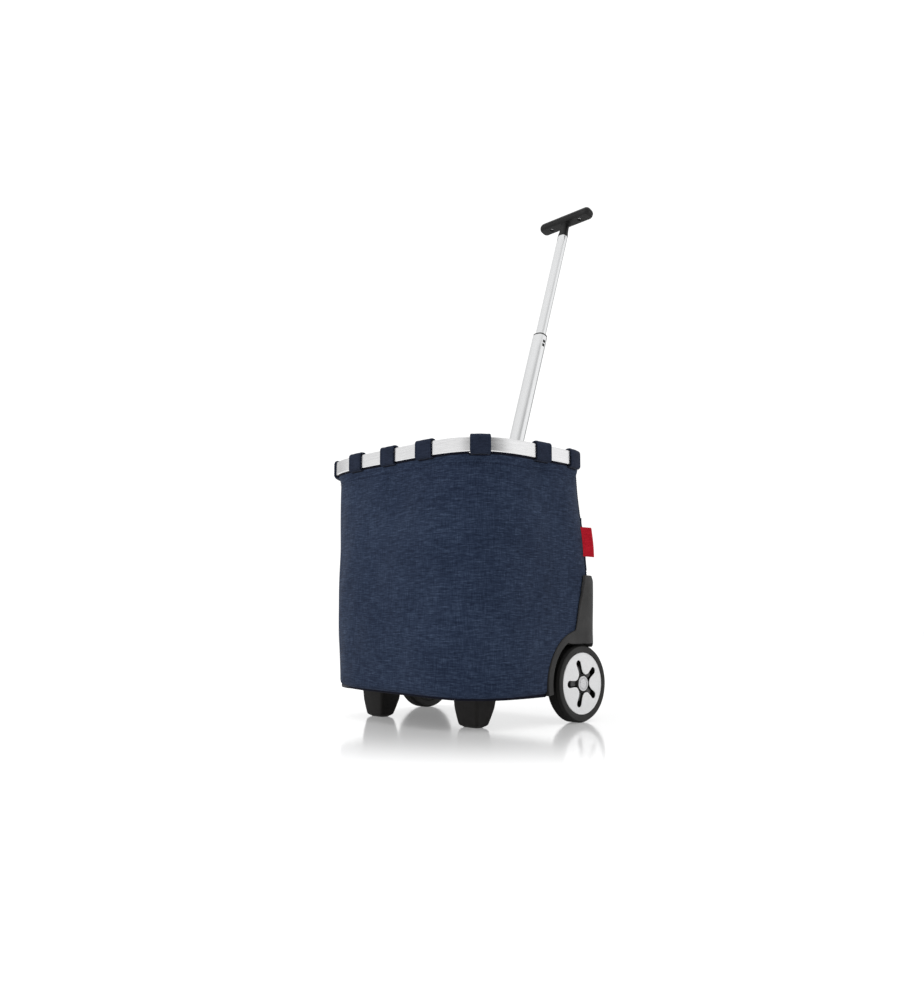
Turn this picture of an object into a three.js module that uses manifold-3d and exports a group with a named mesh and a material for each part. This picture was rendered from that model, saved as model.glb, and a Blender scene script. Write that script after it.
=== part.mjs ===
// Two-wheeled shopping trolley: an open fabric bag hung by webbing loops from an
// aluminium rim band, two rear wheels in plastic brackets, two front feet and a
// two-stage telescopic T-handle.  Millimetres, +Z up, the front (feet) faces -Y,
// the wheels and the handle are at +Y.
import * as THREE from 'three';
import { mergeVertices } from 'three/addons/utils/BufferGeometryUtils.js';
import Module from 'manifold-3d';

const wasm = await Module();
wasm.setup();

// ---------------------------------------------------------------- dimensions
const ORIGIN_Y = 92.8;            // bag centre to the middle of the whole footprint
const GAP = 0.3;                  // air between pieces that touch

const RIM = { a: 212, b: 159, n: 4.1, top: 460, height: 24, thick: 8.5, wall: 1.4, gapHalf: 24 };
const LOOP = { width: 35, thick: 3.2 };
const BAG_WALL = 3.2;
const BAG_BOTTOM = 50;
const BAG_TOP = 431.6;
// bag outer outline at a few heights: half width, front and rear half depth, corner squareness
const BAG_LEVELS = [
  { z: 50, a: 203, bf: 158, br: 158, nf: 3.3, nr: 7.0 },
  { z: 140, a: 203.5, bf: 158, br: 161, nf: 3.35, nr: 7.0 },
  { z: 250, a: 203, bf: 157, br: 160, nf: 3.5, nr: 6.8 },
  { z: 300, a: 203, bf: 156, br: 158, nf: 3.6, nr: 5.8 },
  { z: 350, a: 202.5, bf: 155, br: 157, nf: 3.75, nr: 4.8 },
  { z: 431.6, a: 202, bf: 153, br: 157, nf: 4.0, nr: 4.1 },
];
const SEAM_Y = 122;               // where the wrap panel meets the rear panel
const POCKET = { top: 350, thick: 2.2 };

const AXLE = { y: 104, z: 65, r: 5 };
const WHEEL = { r: 65, inner: 176.4, outer: 205, disc: 50 };
const FENDER = { r0: 78.5, r1: 90, x0: 172, x1: 205.5, plate: 168 };
const ARM = { top: 248, bottom: 132, a: 206.3, b: 166.5, corner: 48 };
const FOOT = { x: 118, y: -66, height: 49.6 };

const LEAN = THREE.MathUtils.degToRad(18.2);      // handle leans back
const POLE_REF = new THREE.Vector3(0, 243, 747);  // top of the extended lower tube, on the pole axis
const LOWER_TUBE = { w: 29, d: 25, wall: 1.5, length: 394 };
const UPPER_TUBE = { w: 21.5, d: 17, wall: 1.3, top: 252, length: 322 };
const SLEEVE = { w: 33, d: 29, wall: 1.6, top: -292.3, bottom: -688 };
const BRIDGE = { w: 47.2, d: 38.5, top: -279, bottom: -336 };
const GRIP = { length: 136, width: 26, thick: 18, s: 293.7 };

// ------------------------------------------------------------------- helpers
const V = (x, y, z) => new THREE.Vector3(x, y, z);
const P2 = (x, y) => new THREE.Vector2(x, y);

function toSolid(geometry) {
  let g = geometry.index ? geometry.toNonIndexed() : geometry.clone();
  for (const key of Object.keys(g.attributes)) if (key !== 'position') g.deleteAttribute(key);
  g = mergeVertices(g, 1e-4);
  const tri = [];
  const id = g.index.array;
  for (let i = 0; i < id.length; i += 3) {
    if (id[i] !== id[i + 1] && id[i + 1] !== id[i + 2] && id[i] !== id[i + 2]) tri.push(id[i], id[i + 1], id[i + 2]);
  }
  return new wasm.Manifold(new wasm.Mesh({
    numProp: 3, vertProperties: new Float32Array(g.attributes.position.array), triVerts: new Uint32Array(tri),
  }));
}

function toGeometry(solid) {
  const m = solid.getMesh();
  const g = new THREE.BufferGeometry();
  const stride = m.numProp;
  const pos = new Float32Array((m.vertProperties.length / stride) * 3);
  for (let i = 0; i < pos.length / 3; i++) for (let k = 0; k < 3; k++) pos[3 * i + k] = m.vertProperties[stride * i + k];
  g.setAttribute('position', new THREE.BufferAttribute(pos, 3));
  g.setIndex(new THREE.BufferAttribute(new Uint32Array(m.triVerts), 1));
  g.computeVertexNormals();
  return g;
}

const moved = (geometry, matrix) => geometry.clone().applyMatrix4(matrix);

function shapeOf(points, ...holes) {
  const s = new THREE.Shape(points);
  for (const h of holes) s.holes.push(new THREE.Path(h));
  return s;
}

// prism along +Z from z0 to z1
function prism(shape, z0, z1, matrix) {
  const g = new THREE.ExtrudeGeometry(shape, { depth: z1 - z0, bevelEnabled: false, curveSegments: 8 });
  g.translate(0, 0, z0);
  if (matrix) g.applyMatrix4(matrix);
  return toSolid(g);
}

function box(x0, x1, y0, y1, z0, z1) {
  const g = new THREE.BoxGeometry(x1 - x0, y1 - y0, z1 - z0);
  g.translate((x0 + x1) / 2, (y0 + y1) / 2, (z0 + z1) / 2);
  return toSolid(g);
}

// solid of revolution; profile is [radius, height] pairs turned about +Z
function turned(profile, segments, matrix) {
  const g = new THREE.LatheGeometry(profile.map(([r, h]) => P2(r, h)), segments);
  g.rotateX(Math.PI / 2);          // lathe axis +Y becomes +Z
  if (matrix) g.applyMatrix4(matrix);
  let s = toSolid(g);
  if (s.volume() < 0) {
    const f = g.toNonIndexed();
    const p = f.attributes.position.array;
    for (let i = 0; i < p.length; i += 9) for (let k = 0; k < 3; k++) [p[i + 3 + k], p[i + 6 + k]] = [p[i + 6 + k], p[i + 3 + k]];
    s = toSolid(f);
  }
  return s;
}

// closed superellipse-like outline, anticlockwise from the rear centre
function outline({ a, bf, br, nf, nr }, count) {
  const fine = [];
  for (let i = 0; i < 720; i++) {
    const t = Math.PI / 2 + (i / 720) * 2 * Math.PI;
    const c = Math.cos(t), s = Math.sin(t);
    const b = s > 0 ? br : bf;
    const n = s > 0 ? nr : nf;
    const r = (Math.abs(c / a) ** n + Math.abs(s / b) ** n) ** (-1 / n);
    fine.push(P2(r * c, r * s));
  }
  const len = [0];
  for (let i = 0; i < fine.length; i++) len.push(len[i] + fine[i].distanceTo(fine[(i + 1) % fine.length]));
  const total = len[fine.length];
  const out = [];
  let j = 0;
  for (let i = 0; i < count; i++) {
    const want = (i / count) * total;
    while (len[j + 1] < want) j++;
    const f = (want - len[j]) / (len[j + 1] - len[j]);
    out.push(fine[j].clone().lerp(fine[(j + 1) % fine.length], f));
  }
  return out;
}

function offset(points, d) {
  const n = points.length;
  return points.map((p, i) => {
    const a = points[(i + n - 1) % n], b = points[(i + 1) % n];
    const t = b.clone().sub(a).normalize();
    return P2(p.x + t.y * d, p.y - t.x * d);
  });
}

// loft through closed outlines of equal count, stacked in Z, capped flat
function loft(rings) {
  const n = rings[0].pts.length;
  const pos = [];
  const at = (k, i) => { const r = rings[k]; const p = r.pts[((i % n) + n) % n]; return [p.x, p.y, r.z]; };
  const push = (a, b, c) => pos.push(...a, ...b, ...c);
  for (let k = 0; k + 1 < rings.length; k++) {
    for (let i = 0; i < n; i++) {
      push(at(k, i), at(k, i + 1), at(k + 1, i + 1));
      push(at(k, i), at(k + 1, i + 1), at(k + 1, i));
    }
  }
  const cap = (k, up) => {
    const c = [0, 0, rings[k].z];
    for (const p of rings[k].pts) { c[0] += p.x / n; c[1] += p.y / n; }
    for (let i = 0; i < n; i++) up ? push(c, at(k, i), at(k, i + 1)) : push(c, at(k, i + 1), at(k, i));
  };
  cap(0, false);
  cap(rings.length - 1, true);
  const g = new THREE.BufferGeometry();
  g.setAttribute('position', new THREE.BufferAttribute(new Float32Array(pos), 3));
  return g;
}

function hexa(p) {   // eight corners: bottom four anticlockwise, top four above them
  const f = [[0, 3, 2, 1], [4, 5, 6, 7], [0, 1, 5, 4], [1, 2, 6, 5], [2, 3, 7, 6], [3, 0, 4, 7]];
  const pos = [];
  for (const q of f) for (const i of [q[0], q[1], q[2], q[0], q[2], q[3]]) pos.push(p[i].x, p[i].y, p[i].z);
  const g = new THREE.BufferGeometry();
  g.setAttribute('position', new THREE.BufferAttribute(new Float32Array(pos), 3));
  return toSolid(g);
}

function roundedRect(hx, hy, r, seg = 5) {
  const pts = [];
  for (const [cx, cy, t0] of [[hx - r, hy - r, 0], [-hx + r, hy - r, 90], [-hx + r, -hy + r, 180], [hx - r, -hy + r, 270]]) {
    for (let i = 0; i <= seg; i++) {
      const t = THREE.MathUtils.degToRad(t0 + (90 * i) / seg);
      pts.push(P2(cx + r * Math.cos(t), cy + r * Math.sin(t)));
    }
  }
  return pts;
}

function oval(w, d, count = 20, n = 2.6) {
  const pts = [];
  for (let i = 0; i < count; i++) {
    const t = (i / count) * 2 * Math.PI;
    const c = Math.cos(t), s = Math.sin(t);
    pts.push(P2((w / 2) * Math.sign(c) * Math.abs(c) ** (2 / n), (d / 2) * Math.sign(s) * Math.abs(s) ** (2 / n)));
  }
  return pts;
}

const group = new THREE.Group();
group.position.y = -ORIGIN_Y;
const COLOURS = {
  fabric: ['#26395a', 0.9, 0.0], webbing: ['#1e2440', 0.85, 0.0], alu: ['#c9cbcd', 0.35, 0.9],
  plastic: ['#3c3c3e', 0.6, 0.0], black: ['#141415', 0.5, 0.0], rubber: ['#1d1d1e', 0.85, 0.0],
  silver: ['#dfe1e3', 0.4, 0.4], steel: ['#a9abad', 0.35, 1.0], red: ['#c4141f', 0.8, 0.0], board: ['#2a2a2c', 0.8, 0.0],
};
function add(name, solid, colour) {
  const [c, roughness, metalness] = COLOURS[colour];
  const mesh = new THREE.Mesh(toGeometry(solid), new THREE.MeshStandardMaterial({ color: c, roughness, metalness }));
  mesh.name = name;
  group.add(mesh);
}

// axes used to place turned and extruded pieces
const alongX = (x, y, z, sign = 1) => new THREE.Matrix4().makeBasis(V(0, sign, 0), V(0, 0, 1), V(sign, 0, 0)).setPosition(x, y, z);
const alongY = (x, y, z) => new THREE.Matrix4().makeBasis(V(0, 0, 1), V(1, 0, 0), V(0, 1, 0)).setPosition(x, y, z);
const alongZ = (x, y, z) => new THREE.Matrix4().setPosition(x, y, z);
const U = V(0, Math.sin(LEAN), Math.cos(LEAN));
const poleFrame = new THREE.Matrix4().makeBasis(V(1, 0, 0), V(0, Math.cos(LEAN), -Math.sin(LEAN)), U).setPosition(POLE_REF);
const rod = (r, h0, h1, matrix, seg = 16) => turned([[0, h0], [r, h0], [r, h1], [0, h1]], seg, matrix);
const screw = (r, rHead, length, head, matrix) =>
  turned([[0, 0], [r, 0], [r, length], [rHead, length], [rHead, length + head * 0.5], [rHead * 0.7, length + head], [0, length + head]], 12, matrix);

// side profiles (outer side view, coordinates are Y and Z) extruded along X, mirrored for the left side
function sidePrism(points, x0, x1, side) {
  const g = new THREE.ExtrudeGeometry(shapeOf(points), { depth: x1 - x0, bevelEnabled: false });
  // extrusion axis -> X, shape x -> Y, shape y -> Z
  g.applyMatrix4(new THREE.Matrix4().makeBasis(V(0, 1, 0), V(0, 0, 1), V(1, 0, 0)).setPosition(side > 0 ? x0 : -x1, 0, 0));
  return toSolid(g);
}
function arc(cy, cz, r, d0, d1, count) {
  const pts = [];
  for (let i = 0; i <= count; i++) {
    const t = THREE.MathUtils.degToRad(d0 + ((d1 - d0) * i) / count);
    pts.push(P2(cy + r * Math.cos(t), cz + r * Math.sin(t)));
  }
  return pts;
}

// ------------------------------------------------------------------ rim band
const rimOutline = outline({ a: RIM.a, bf: RIM.b, br: RIM.b, nf: RIM.n, nr: RIM.n }, 60);
const rimZ0 = RIM.top - RIM.height;
const ringPrism = (d0, d1, z0, z1) => prism(shapeOf(offset(rimOutline, d0), offset(rimOutline, d1)), z0, z1);
let band = ringPrism(0, -RIM.thick, rimZ0, RIM.top)
  .subtract(ringPrism(-RIM.wall, -RIM.thick + RIM.wall, rimZ0 + RIM.wall, RIM.top - RIM.wall))
  .subtract(box(-RIM.gapHalf, RIM.gapHalf, 100, 200, 400, 500));

// rear bridge moulding: closes the band and guides the pole
const plugY0 = RIM.b - RIM.thick + RIM.wall + GAP, plugY1 = RIM.b - RIM.wall - GAP;
let bridge = prism(shapeOf(roundedRect(BRIDGE.w / 2, BRIDGE.d / 2, 7)), BRIDGE.bottom, BRIDGE.top, poleFrame)
  .add(box(-46, 46, plugY0, plugY1, rimZ0 + RIM.wall + GAP, RIM.top - RIM.wall - GAP))
  .subtract(prism(shapeOf(oval(SLEEVE.w + 0.6, SLEEVE.d + 0.6)), BRIDGE.bottom - 60, SLEEVE.top + GAP, poleFrame))
  .subtract(prism(shapeOf(oval(LOWER_TUBE.w + 0.9, LOWER_TUBE.d + 0.9)), SLEEVE.top - 10, 0, poleFrame));
for (const side of [-1, 1]) {
  const name = side > 0 ? 'right' : 'left';
  const m = alongY(side * 36, plugY0 - 3.2, 448);
  const rivet = turned([[0, 0], [2, 0], [2, 12.2], [4, 12.2], [3.2, 13.6], [0, 13.6]], 12, m);
  const hole = rod(2.3, -1, 20, m, 12);
  band = band.subtract(hole);
  bridge = bridge.subtract(hole);
  add(`band_rivet_${name}`, rivet, 'steel');
}
add('rim_band', band, 'alu');
add('rim_bridge', bridge, 'black');

// --------------------------------------------------------------------- loops
const loopStock = ringPrism(GAP + LOOP.thick, -RIM.thick - GAP - LOOP.thick, rimZ0 - GAP - LOOP.thick, RIM.top + GAP + LOOP.thick)
  .subtract(ringPrism(GAP, -RIM.thick - GAP, rimZ0 - GAP, RIM.top + GAP));
function loopAt(name, x, y, angle) {
  const g = new THREE.BoxGeometry(70, LOOP.width, 60);
  g.rotateZ(angle);
  g.translate(x, y, RIM.top - 12);
  add(name, loopStock.intersect(toSolid(g)), 'webbing');
}
const half = Math.PI / 2;
loopAt('loop_front_left', -90, -155, half);
loopAt('loop_front_middle', 0, -155, half);
loopAt('loop_front_right', 90, -155, half);
for (const side of [-1, 1]) {
  const n = side > 0 ? 'right' : 'left';
  loopAt(`loop_front_corner_${n}`, side * 189, -128, side > 0 ? -Math.PI / 4 - 0.12 : Math.PI / 4 + 0.12);
  loopAt(`loop_${n}_middle`, side * 208, 0, 0);
  loopAt(`loop_${n}_rear`, side * 206, 90, 0);
  loopAt(`loop_rear_${n}`, side * 90, 155, half);
}

// ----------------------------------------------------------------- pole guide
const sleeve = prism(shapeOf(oval(SLEEVE.w, SLEEVE.d), oval(SLEEVE.w - 2 * SLEEVE.wall, SLEEVE.d - 2 * SLEEVE.wall)), SLEEVE.bottom, SLEEVE.top, poleFrame);
add('pole_sleeve', sleeve, 'alu');
const sleeveFoot = POLE_REF.clone().addScaledVector(U, SLEEVE.bottom);
const boardTop = 58;
let socket = box(-30, 30, sleeveFoot.y - 34, sleeveFoot.y + 34, boardTop + GAP, boardTop + 5)
  .add(prism(shapeOf(roundedRect(22, 20, 6)), SLEEVE.bottom - 30, SLEEVE.bottom + 26, poleFrame)
    .intersect(box(-80, 80, -200, 200, boardTop + GAP, 300)))
  .subtract(prism(shapeOf(oval(SLEEVE.w + 0.6, SLEEVE.d + 0.6)), SLEEVE.bottom - GAP, 0, poleFrame));

// ---------------------------------------------------------------------- bag
const BAG_N = 52;
const level = (L, d) => ({ z: L.z, pts: offset(outline(L, BAG_N), d) });
const bagOuter = toSolid(loft(BAG_LEVELS.map((L) => level(L, 0))));
const stretch = (L, z0, z1) => ({ ...L, z: L.z === BAG_BOTTOM ? z0 : L.z === BAG_TOP ? z1 : L.z });
const bagInner = toSolid(loft(BAG_LEVELS.map((L) => level(stretch(L, 20, 460), -BAG_WALL))));
const bagInnerPanel = toSolid(loft(BAG_LEVELS.map((L) => level(stretch(L, 20, 460), -BAG_WALL - GAP))));
const bagClear = toSolid(loft(BAG_LEVELS.map((L) => level(stretch(L, 20, 460), GAP))));
const pocketOuter = toSolid(loft(BAG_LEVELS.map((L) => level(stretch(L, 20, 460), GAP + POCKET.thick))));

const wellProfile = (r) => [...arc(AXLE.y, AXLE.z, r, 200, 48, 16), P2(230, ARM.bottom - 0.4), P2(230, -20), P2(AXLE.y - r, -20)];
const wells = [-1, 1].map((side) => sidePrism(wellProfile(FENDER.r1 + 1.0), FENDER.plate - 0.4, 260, side));
const cutWells = (s) => s.subtract(wells[0]).subtract(wells[1]);
const bridgeClear = prism(shapeOf(roundedRect(BRIDGE.w / 2 + 0.6, BRIDGE.d / 2 + 0.6, 7)), BRIDGE.bottom - 0.6, 0, poleFrame);

let bagShell = cutWells(bagOuter.subtract(bagInner)).subtract(bridgeClear);
const wrapPanel = bagShell.intersect(box(-300, 300, -300, SEAM_Y, 0, 500));
let rearPanel = bagShell.intersect(box(-300, 300, SEAM_Y + GAP, 300, 0, 500));
let basePanel = cutWells(bagInnerPanel.intersect(box(-300, 300, -300, 300, BAG_BOTTOM, BAG_BOTTOM + 2.7)));
let board = cutWells(bagInnerPanel.intersect(box(-300, 300, -300, 300, BAG_BOTTOM + 3, boardTop)))
  .intersect(box(-190, 190, -146, 150, 0, 100));

// rear slip pocket, sewn on the outside of the rear panel
const pocket = pocketOuter.subtract(bagClear)
  .intersect(box(-186, 186, 122.3, 300, 253, POCKET.top).add(box(-135, 135, 130, 300, 95, 300)));
add('rear_pocket', pocket, 'fabric');

// seam tag at the rear right seam
const cornerAt = (z) => {
  let k = 0;
  while (BAG_LEVELS[k + 1].z < z) k++;
  const A = BAG_LEVELS[k], B = BAG_LEVELS[k + 1], f = (z - A.z) / (B.z - A.z);
  const mix = (key) => A[key] * (1 - f) + B[key] * f;
  const pts = outline({ a: mix('a'), bf: mix('bf'), br: mix('br'), nf: mix('nf'), nr: mix('nr') }, 400);
  return pts.reduce((best, p) => (p.x + p.y > best.x + best.y ? p : best));
};
{
  const d = P2(Math.SQRT1_2, Math.SQRT1_2), t = P2(-0.5 * 1.4 * Math.SQRT1_2 * 1, 0.5 * 1.4 * Math.SQRT1_2 * 1);
  const at = (z, out, s) => { const c = cornerAt(z); return V(c.x + d.x * out + t.x * s, c.y + d.y * out + t.y * s, z); };
  const r0 = POCKET.thick + 1.2, r1 = r0 + 17;
  add('seam_tag', hexa([at(281, r0, -1), at(281, r1, -1), at(281, r1, 1), at(281, r0, 1), at(332, r0, -1), at(332, r1, -1), at(332, r1, 1), at(332, r0, 1)]), 'red');
}

// -------------------------------------------------------- brackets and wheels
const armProfile = [P2(116, ARM.top), P2(106, 217), P2(97, 192), P2(91, 168), P2(86.5, 154), P2(78, 149), P2(66, 144), P2(60, 138), P2(62, 134.5), P2(70, 132.8), P2(77, ARM.bottom), P2(200, ARM.bottom), P2(200, ARM.top)];
const cornerRound = prism(shapeOf(roundedRect(ARM.a, ARM.b, ARM.corner, 9)), -20, 400);
for (const side of [-1, 1]) {
  const name = side > 0 ? 'right' : 'left';
  const fender = sidePrism([...arc(AXLE.y, AXLE.z, FENDER.r1, 190, 49, 12), ...arc(AXLE.y, AXLE.z, FENDER.r0, 49, 190, 12)], FENDER.x0 - 2, FENDER.x1, side)
    .intersect(cornerRound);
  const plate = sidePrism([...arc(AXLE.y, AXLE.z, FENDER.r1, 190, 49, 12), P2(164, ARM.bottom - 1), P2(164, BAG_BOTTOM), P2(15.6, BAG_BOTTOM)], FENDER.plate, FENDER.x0 - 0.4, side)
    .intersect(cornerRound);
  const arm = prism(shapeOf(roundedRect(ARM.a, ARM.b, ARM.corner, 9)), ARM.bottom - 5, ARM.top)
    .subtract(bagClear)
    .intersect(sidePrism(armProfile, 150, 215, side));
  // closes the corner between the fender and the arm above the wheel
  const shelf = prism(shapeOf(roundedRect(ARM.a - 1, ARM.b - 1, ARM.corner, 9)), ARM.bottom, ARM.bottom + 20)
    .intersect(sidePrism([P2(104, ARM.bottom + 0.2), P2(166, ARM.bottom + 0.2), P2(166, ARM.bottom + 6), P2(104, ARM.bottom + 24)], FENDER.plate, 206, side))
    .subtract(bagClear);
  const boss = rod(14, FENDER.plate - 5, FENDER.x0 + 4, alongX(0, AXLE.y, AXLE.z, side), 14);
  let bracket = fender.add(plate).add(arm).add(shelf).add(boss);
  bracket = bracket.subtract(rod(AXLE.r + GAP, 150, 215, alongX(0, AXLE.y, AXLE.z, side), 14));
  // screw that holds the arm to the rear panel
  const sm = new THREE.Matrix4().makeBasis(V(0, 0, 1), V(-1, 0, 0), V(0, -1, 0)).setPosition(side * 176, 158, 200);
  const hole = rod(2.5, -0.3, 40, sm, 12);
  bracket = bracket.subtract(hole);
  rearPanel = rearPanel.subtract(rod(2.5, 0, 40, sm, 12));
  add(`bracket_screw_${name}`, screw(2.2, 5, 19, 3, sm), 'steel');
  add(`wheel_bracket_${name}`, bracket, 'plastic');
  // the floor is notched round the axle boss and the bolt head
  const notch = sidePrism([P2(88, 40), P2(120, 40), P2(120, 82), P2(88, 82)], 157, 175, side);
  basePanel = basePanel.subtract(notch);
  board = board.subtract(notch);

  const wx = (x) => x;   // profile height is the distance from the middle plane
  const wheelAxis = alongX(0, AXLE.y, AXLE.z, side);
  const R = WHEEL.r, x0 = WHEEL.inner, x1 = WHEEL.outer;
  add(`tyre_${name}`, turned([[52, x0 + 1], [60, x0], [R, x0 + 7], [R, x1 - 5.5], [61.6, x1 - 0.4], [55, x1], [52, x1 - 1.2], [52, x0 + 1]], 32, wheelAxis), 'rubber');
  add(`wheel_core_${name}`, turned([
    [AXLE.r + 0.4, x0 + 0.6], [15, x0 + 0.6], [15, x0 + 7], [45, x0 + 9], [45, x0 + 2], [51.4, x0 + 2], [51.4, x1 - 3.4],
    [46, x1 - 3.4], [46, x1 - 12], [16, x1 - 12], [16, x1 - 1.6], [13, x1 - 1.6], [13, x1 - 8], [AXLE.r + 0.4, x1 - 8], [AXLE.r + 0.4, x0 + 0.6]], 24, wheelAxis), 'black');
  // silver cover: a shallow dished ring with five tapered rounded slots open to the hub
  let disc = turned([[16.4, x1 - 1.4], [51.5, x1 - 2.9], [51.5, x1 - 1.6], [48, x1 - 0.6], [16.4, x1 + 0.4], [16.4, x1 - 1.4]], 32, wheelAxis);
  for (let k = 0; k < 5; k++) {
    const t = THREE.MathUtils.degToRad(180 - 72 * k);
    const pts = [];
    const along = P2(Math.cos(t), Math.sin(t)), across = P2(-Math.sin(t), Math.cos(t));
    const put = (r, w) => pts.push(P2(AXLE.y + along.x * r + across.x * w, AXLE.z + along.y * r + across.y * w));
    put(10, -6.8); put(18, -6); put(34.5, -4.7);
    for (let i = 1; i < 4; i++) { const q = -half + (Math.PI * i) / 4; put(34.8 + 4.6 * Math.cos(q), 4.6 * Math.sin(q)); }
    put(34.5, 4.7); put(18, 6); put(10, 6.8);
    disc = disc.subtract(sidePrism(pts, 190, 220, side));
  }
  add(`wheel_disc_${name}`, disc, 'silver');
  add(`wheel_cap_${name}`, turned([[0, x1 - 1.3], [10.5, x1 - 1.3], [12.5, x1 - 0.6], [12.5, x1 + 0.4], [10, x1 + 1.2], [0, x1 + 1.4]], 16, wheelAxis), 'silver');
  add(`axle_bolt_${name}`, turned([[0, FENDER.plate - 9.3], [9, FENDER.plate - 9.3], [9, FENDER.plate - 5.3], [AXLE.r, FENDER.plate - 5.3], [AXLE.r, x1 - 2], [0, x1 - 2]], 14, wheelAxis), 'steel');
  add(`axle_ring_${name}`, turned([[AXLE.r + 0.3, x1 - 7.6], [10.5, x1 - 7.6], [10.5, x1 - 4], [AXLE.r + 0.3, x1 - 4], [AXLE.r + 0.3, x1 - 7.6]], 14, wheelAxis), 'steel');

  // front foot: tapered block with softened corners
  const fx = side * FOOT.x;
  const ring = (z, hx, hy, r) => ({ z, pts: roundedRect(hx, hy, r, 2).map((p) => P2(p.x + fx, p.y + FOOT.y)) });
  let foot = toSolid(loft([ring(0, 15, 9, 4), ring(3, 18, 12.5, 6), ring(30, 25.5, 20, 8), ring(FOOT.height, 28, 23, 9)]));
  for (const q of [-1, 1]) {
    const sx = fx + q * 13;
    const m = new THREE.Matrix4().setPosition(sx, FOOT.y, 30);
    const h = rod(2.5, -0.3, 60, m, 12);
    foot = foot.subtract(h); basePanel = basePanel.subtract(h); board = board.subtract(h);
    add(`foot_screw_${name}_${q > 0 ? 'b' : 'a'}`, screw(2.2, 5, boardTop - 30 + GAP, 3, m), 'steel');
  }
  add(`foot_${name}`, foot, 'black');
}
for (const q of [-1, 1]) {
  const m = new THREE.Matrix4().setPosition(q * 25.5, sleeveFoot.y - 27, BAG_BOTTOM + 3.3);
  const h = rod(2.5, 0, 60, m, 12);
  socket = socket.subtract(h);
  board = board.subtract(rod(2.5, -0.01, 60, m, 12));
  add(`socket_screw_${q > 0 ? 'right' : 'left'}`, screw(2.2, 4.2, boardTop + 5 - BAG_BOTTOM - 3.3 + GAP, 2.6, m), 'steel');
}
add('pole_socket', socket, 'plastic');
add('bag_wrap_panel', wrapPanel, 'fabric');
add('bag_rear_panel', rearPanel, 'fabric');
add('bag_base_panel', basePanel, 'fabric');
add('base_board', board, 'board');

// --------------------------------------------------------- telescopic handle
const lw = LOWER_TUBE.w, ld = LOWER_TUBE.d, uw = UPPER_TUBE.w, ud = UPPER_TUBE.d;
let lower = prism(shapeOf(oval(lw, ld), oval(lw - 2 * LOWER_TUBE.wall, ld - 2 * LOWER_TUBE.wall)), -LOWER_TUBE.length, 0, poleFrame);
// bushing: a sleeve inside the tube mouth, a thin collar on top, two snap tabs in windows
const bIn = [uw + 0.7, ud + 0.7];
const bOut = [lw - 2 * LOWER_TUBE.wall - 0.6, ld - 2 * LOWER_TUBE.wall - 0.6];
let bushing = prism(shapeOf(oval(bOut[0], bOut[1]), oval(...bIn)), -34, 1.5, poleFrame)
  .add(prism(shapeOf(oval(lw - 0.4, ld - 0.4), oval(...bIn)), GAP, 3, poleFrame));
for (const s of [-13.5, -22]) {
  const place = (g) => toSolid(moved(g, poleFrame));
  const win = new THREE.BoxGeometry(6, 6.4, 6.2); win.translate(lw / 2 - 0.6, 0, s);
  const tab = new THREE.BoxGeometry(2.6, 5.6, 5.4); tab.translate(lw / 2 - 2.1, 0, s);
  lower = lower.subtract(place(win));
  bushing = bushing.add(place(tab));
}
add('lower_tube', lower, 'alu');
add('tube_bushing', bushing, 'black');

const uTop = UPPER_TUBE.top, uBot = UPPER_TUBE.top - UPPER_TUBE.length;
const uInW = uw - 2 * UPPER_TUBE.wall, uInD = ud - 2 * UPPER_TUBE.wall;
const upper = prism(shapeOf(oval(uw, ud), oval(uInW, uInD)), uBot, uTop, poleFrame);
add('upper_tube', upper, 'alu');
// end plug: guides the lower end of the upper tube and carries the lock pin
const plug = prism(shapeOf(oval(lw - 2 * LOWER_TUBE.wall - 0.8, ld - 2 * LOWER_TUBE.wall - 0.8)), uBot - 22, uBot - GAP, poleFrame)
  .add(prism(shapeOf(oval(uInW - 0.6, uInD - 0.6)), uBot - 1, uBot + 18, poleFrame))
  .subtract(rod(2.6, uBot - 12, uBot + 30, poleFrame, 12))
  .subtract(rod(3.3, -5, 20, new THREE.Matrix4().multiplyMatrices(poleFrame, alongX(0, 0, uBot - 12)), 12));
add('upper_tube_plug', plug, 'black');
add('lock_pin', rod(3, -1.2, 12.3, new THREE.Matrix4().multiplyMatrices(poleFrame, alongX(0, 0, uBot - 12)), 12), 'steel');

// grip: lower half with the neck, upper half, button, rod and two screws
const gl = GRIP.length / 2, gw = GRIP.width / 2, gt = GRIP.thick / 2, gs = GRIP.s;
const stadium = (hx, hy) => roundedRect(hx, hy, hy - 0.2, 4);
const gripRings = (list) => toSolid(moved(loft(list.map(([z, dx, dy]) => ({ z, pts: stadium(gl - dx, gw - dy) }))), poleFrame));
const neckRings = (list) => toSolid(moved(loft(list.map(([z, w, d]) => ({ z, pts: oval(w, d, 16, 2.6) }))), poleFrame));
let gripLower = gripRings([[gs - gt, 5, 5], [gs - gt + 1.6, 2.2, 2.2], [gs - gt + 4.5, 0.4, 0.4], [gs - GAP / 2, 0, 0]])
  .add(neckRings([[uTop + GAP, uw, ud], [uTop + 6, uw - 0.6, ud - 0.6], [uTop + 14, 15.5, 14.5], [gs - gt - 3, 15.5, 15], [gs - gt + 2, 22, 18]]))
  .add(prism(shapeOf(oval(uInW - 0.6, uInD - 0.6)), uTop - 28, uTop + 2, poleFrame));
let gripUpper = gripRings([[gs + GAP / 2, 0, 0], [gs + gt - 4.5, 0.4, 0.4], [gs + gt - 1.6, 2.2, 2.2], [gs + gt, 5, 5]]);
const rodHole = rod(2.6, -100, gs + 3, poleFrame, 12);
gripLower = gripLower.subtract(rodHole);
gripUpper = gripUpper.subtract(rod(2.6, 0, gs + gt + 5, poleFrame, 12));
const buttonOval = (d) => oval(34 + d, 14 + d, 16, 2.4);
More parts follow.
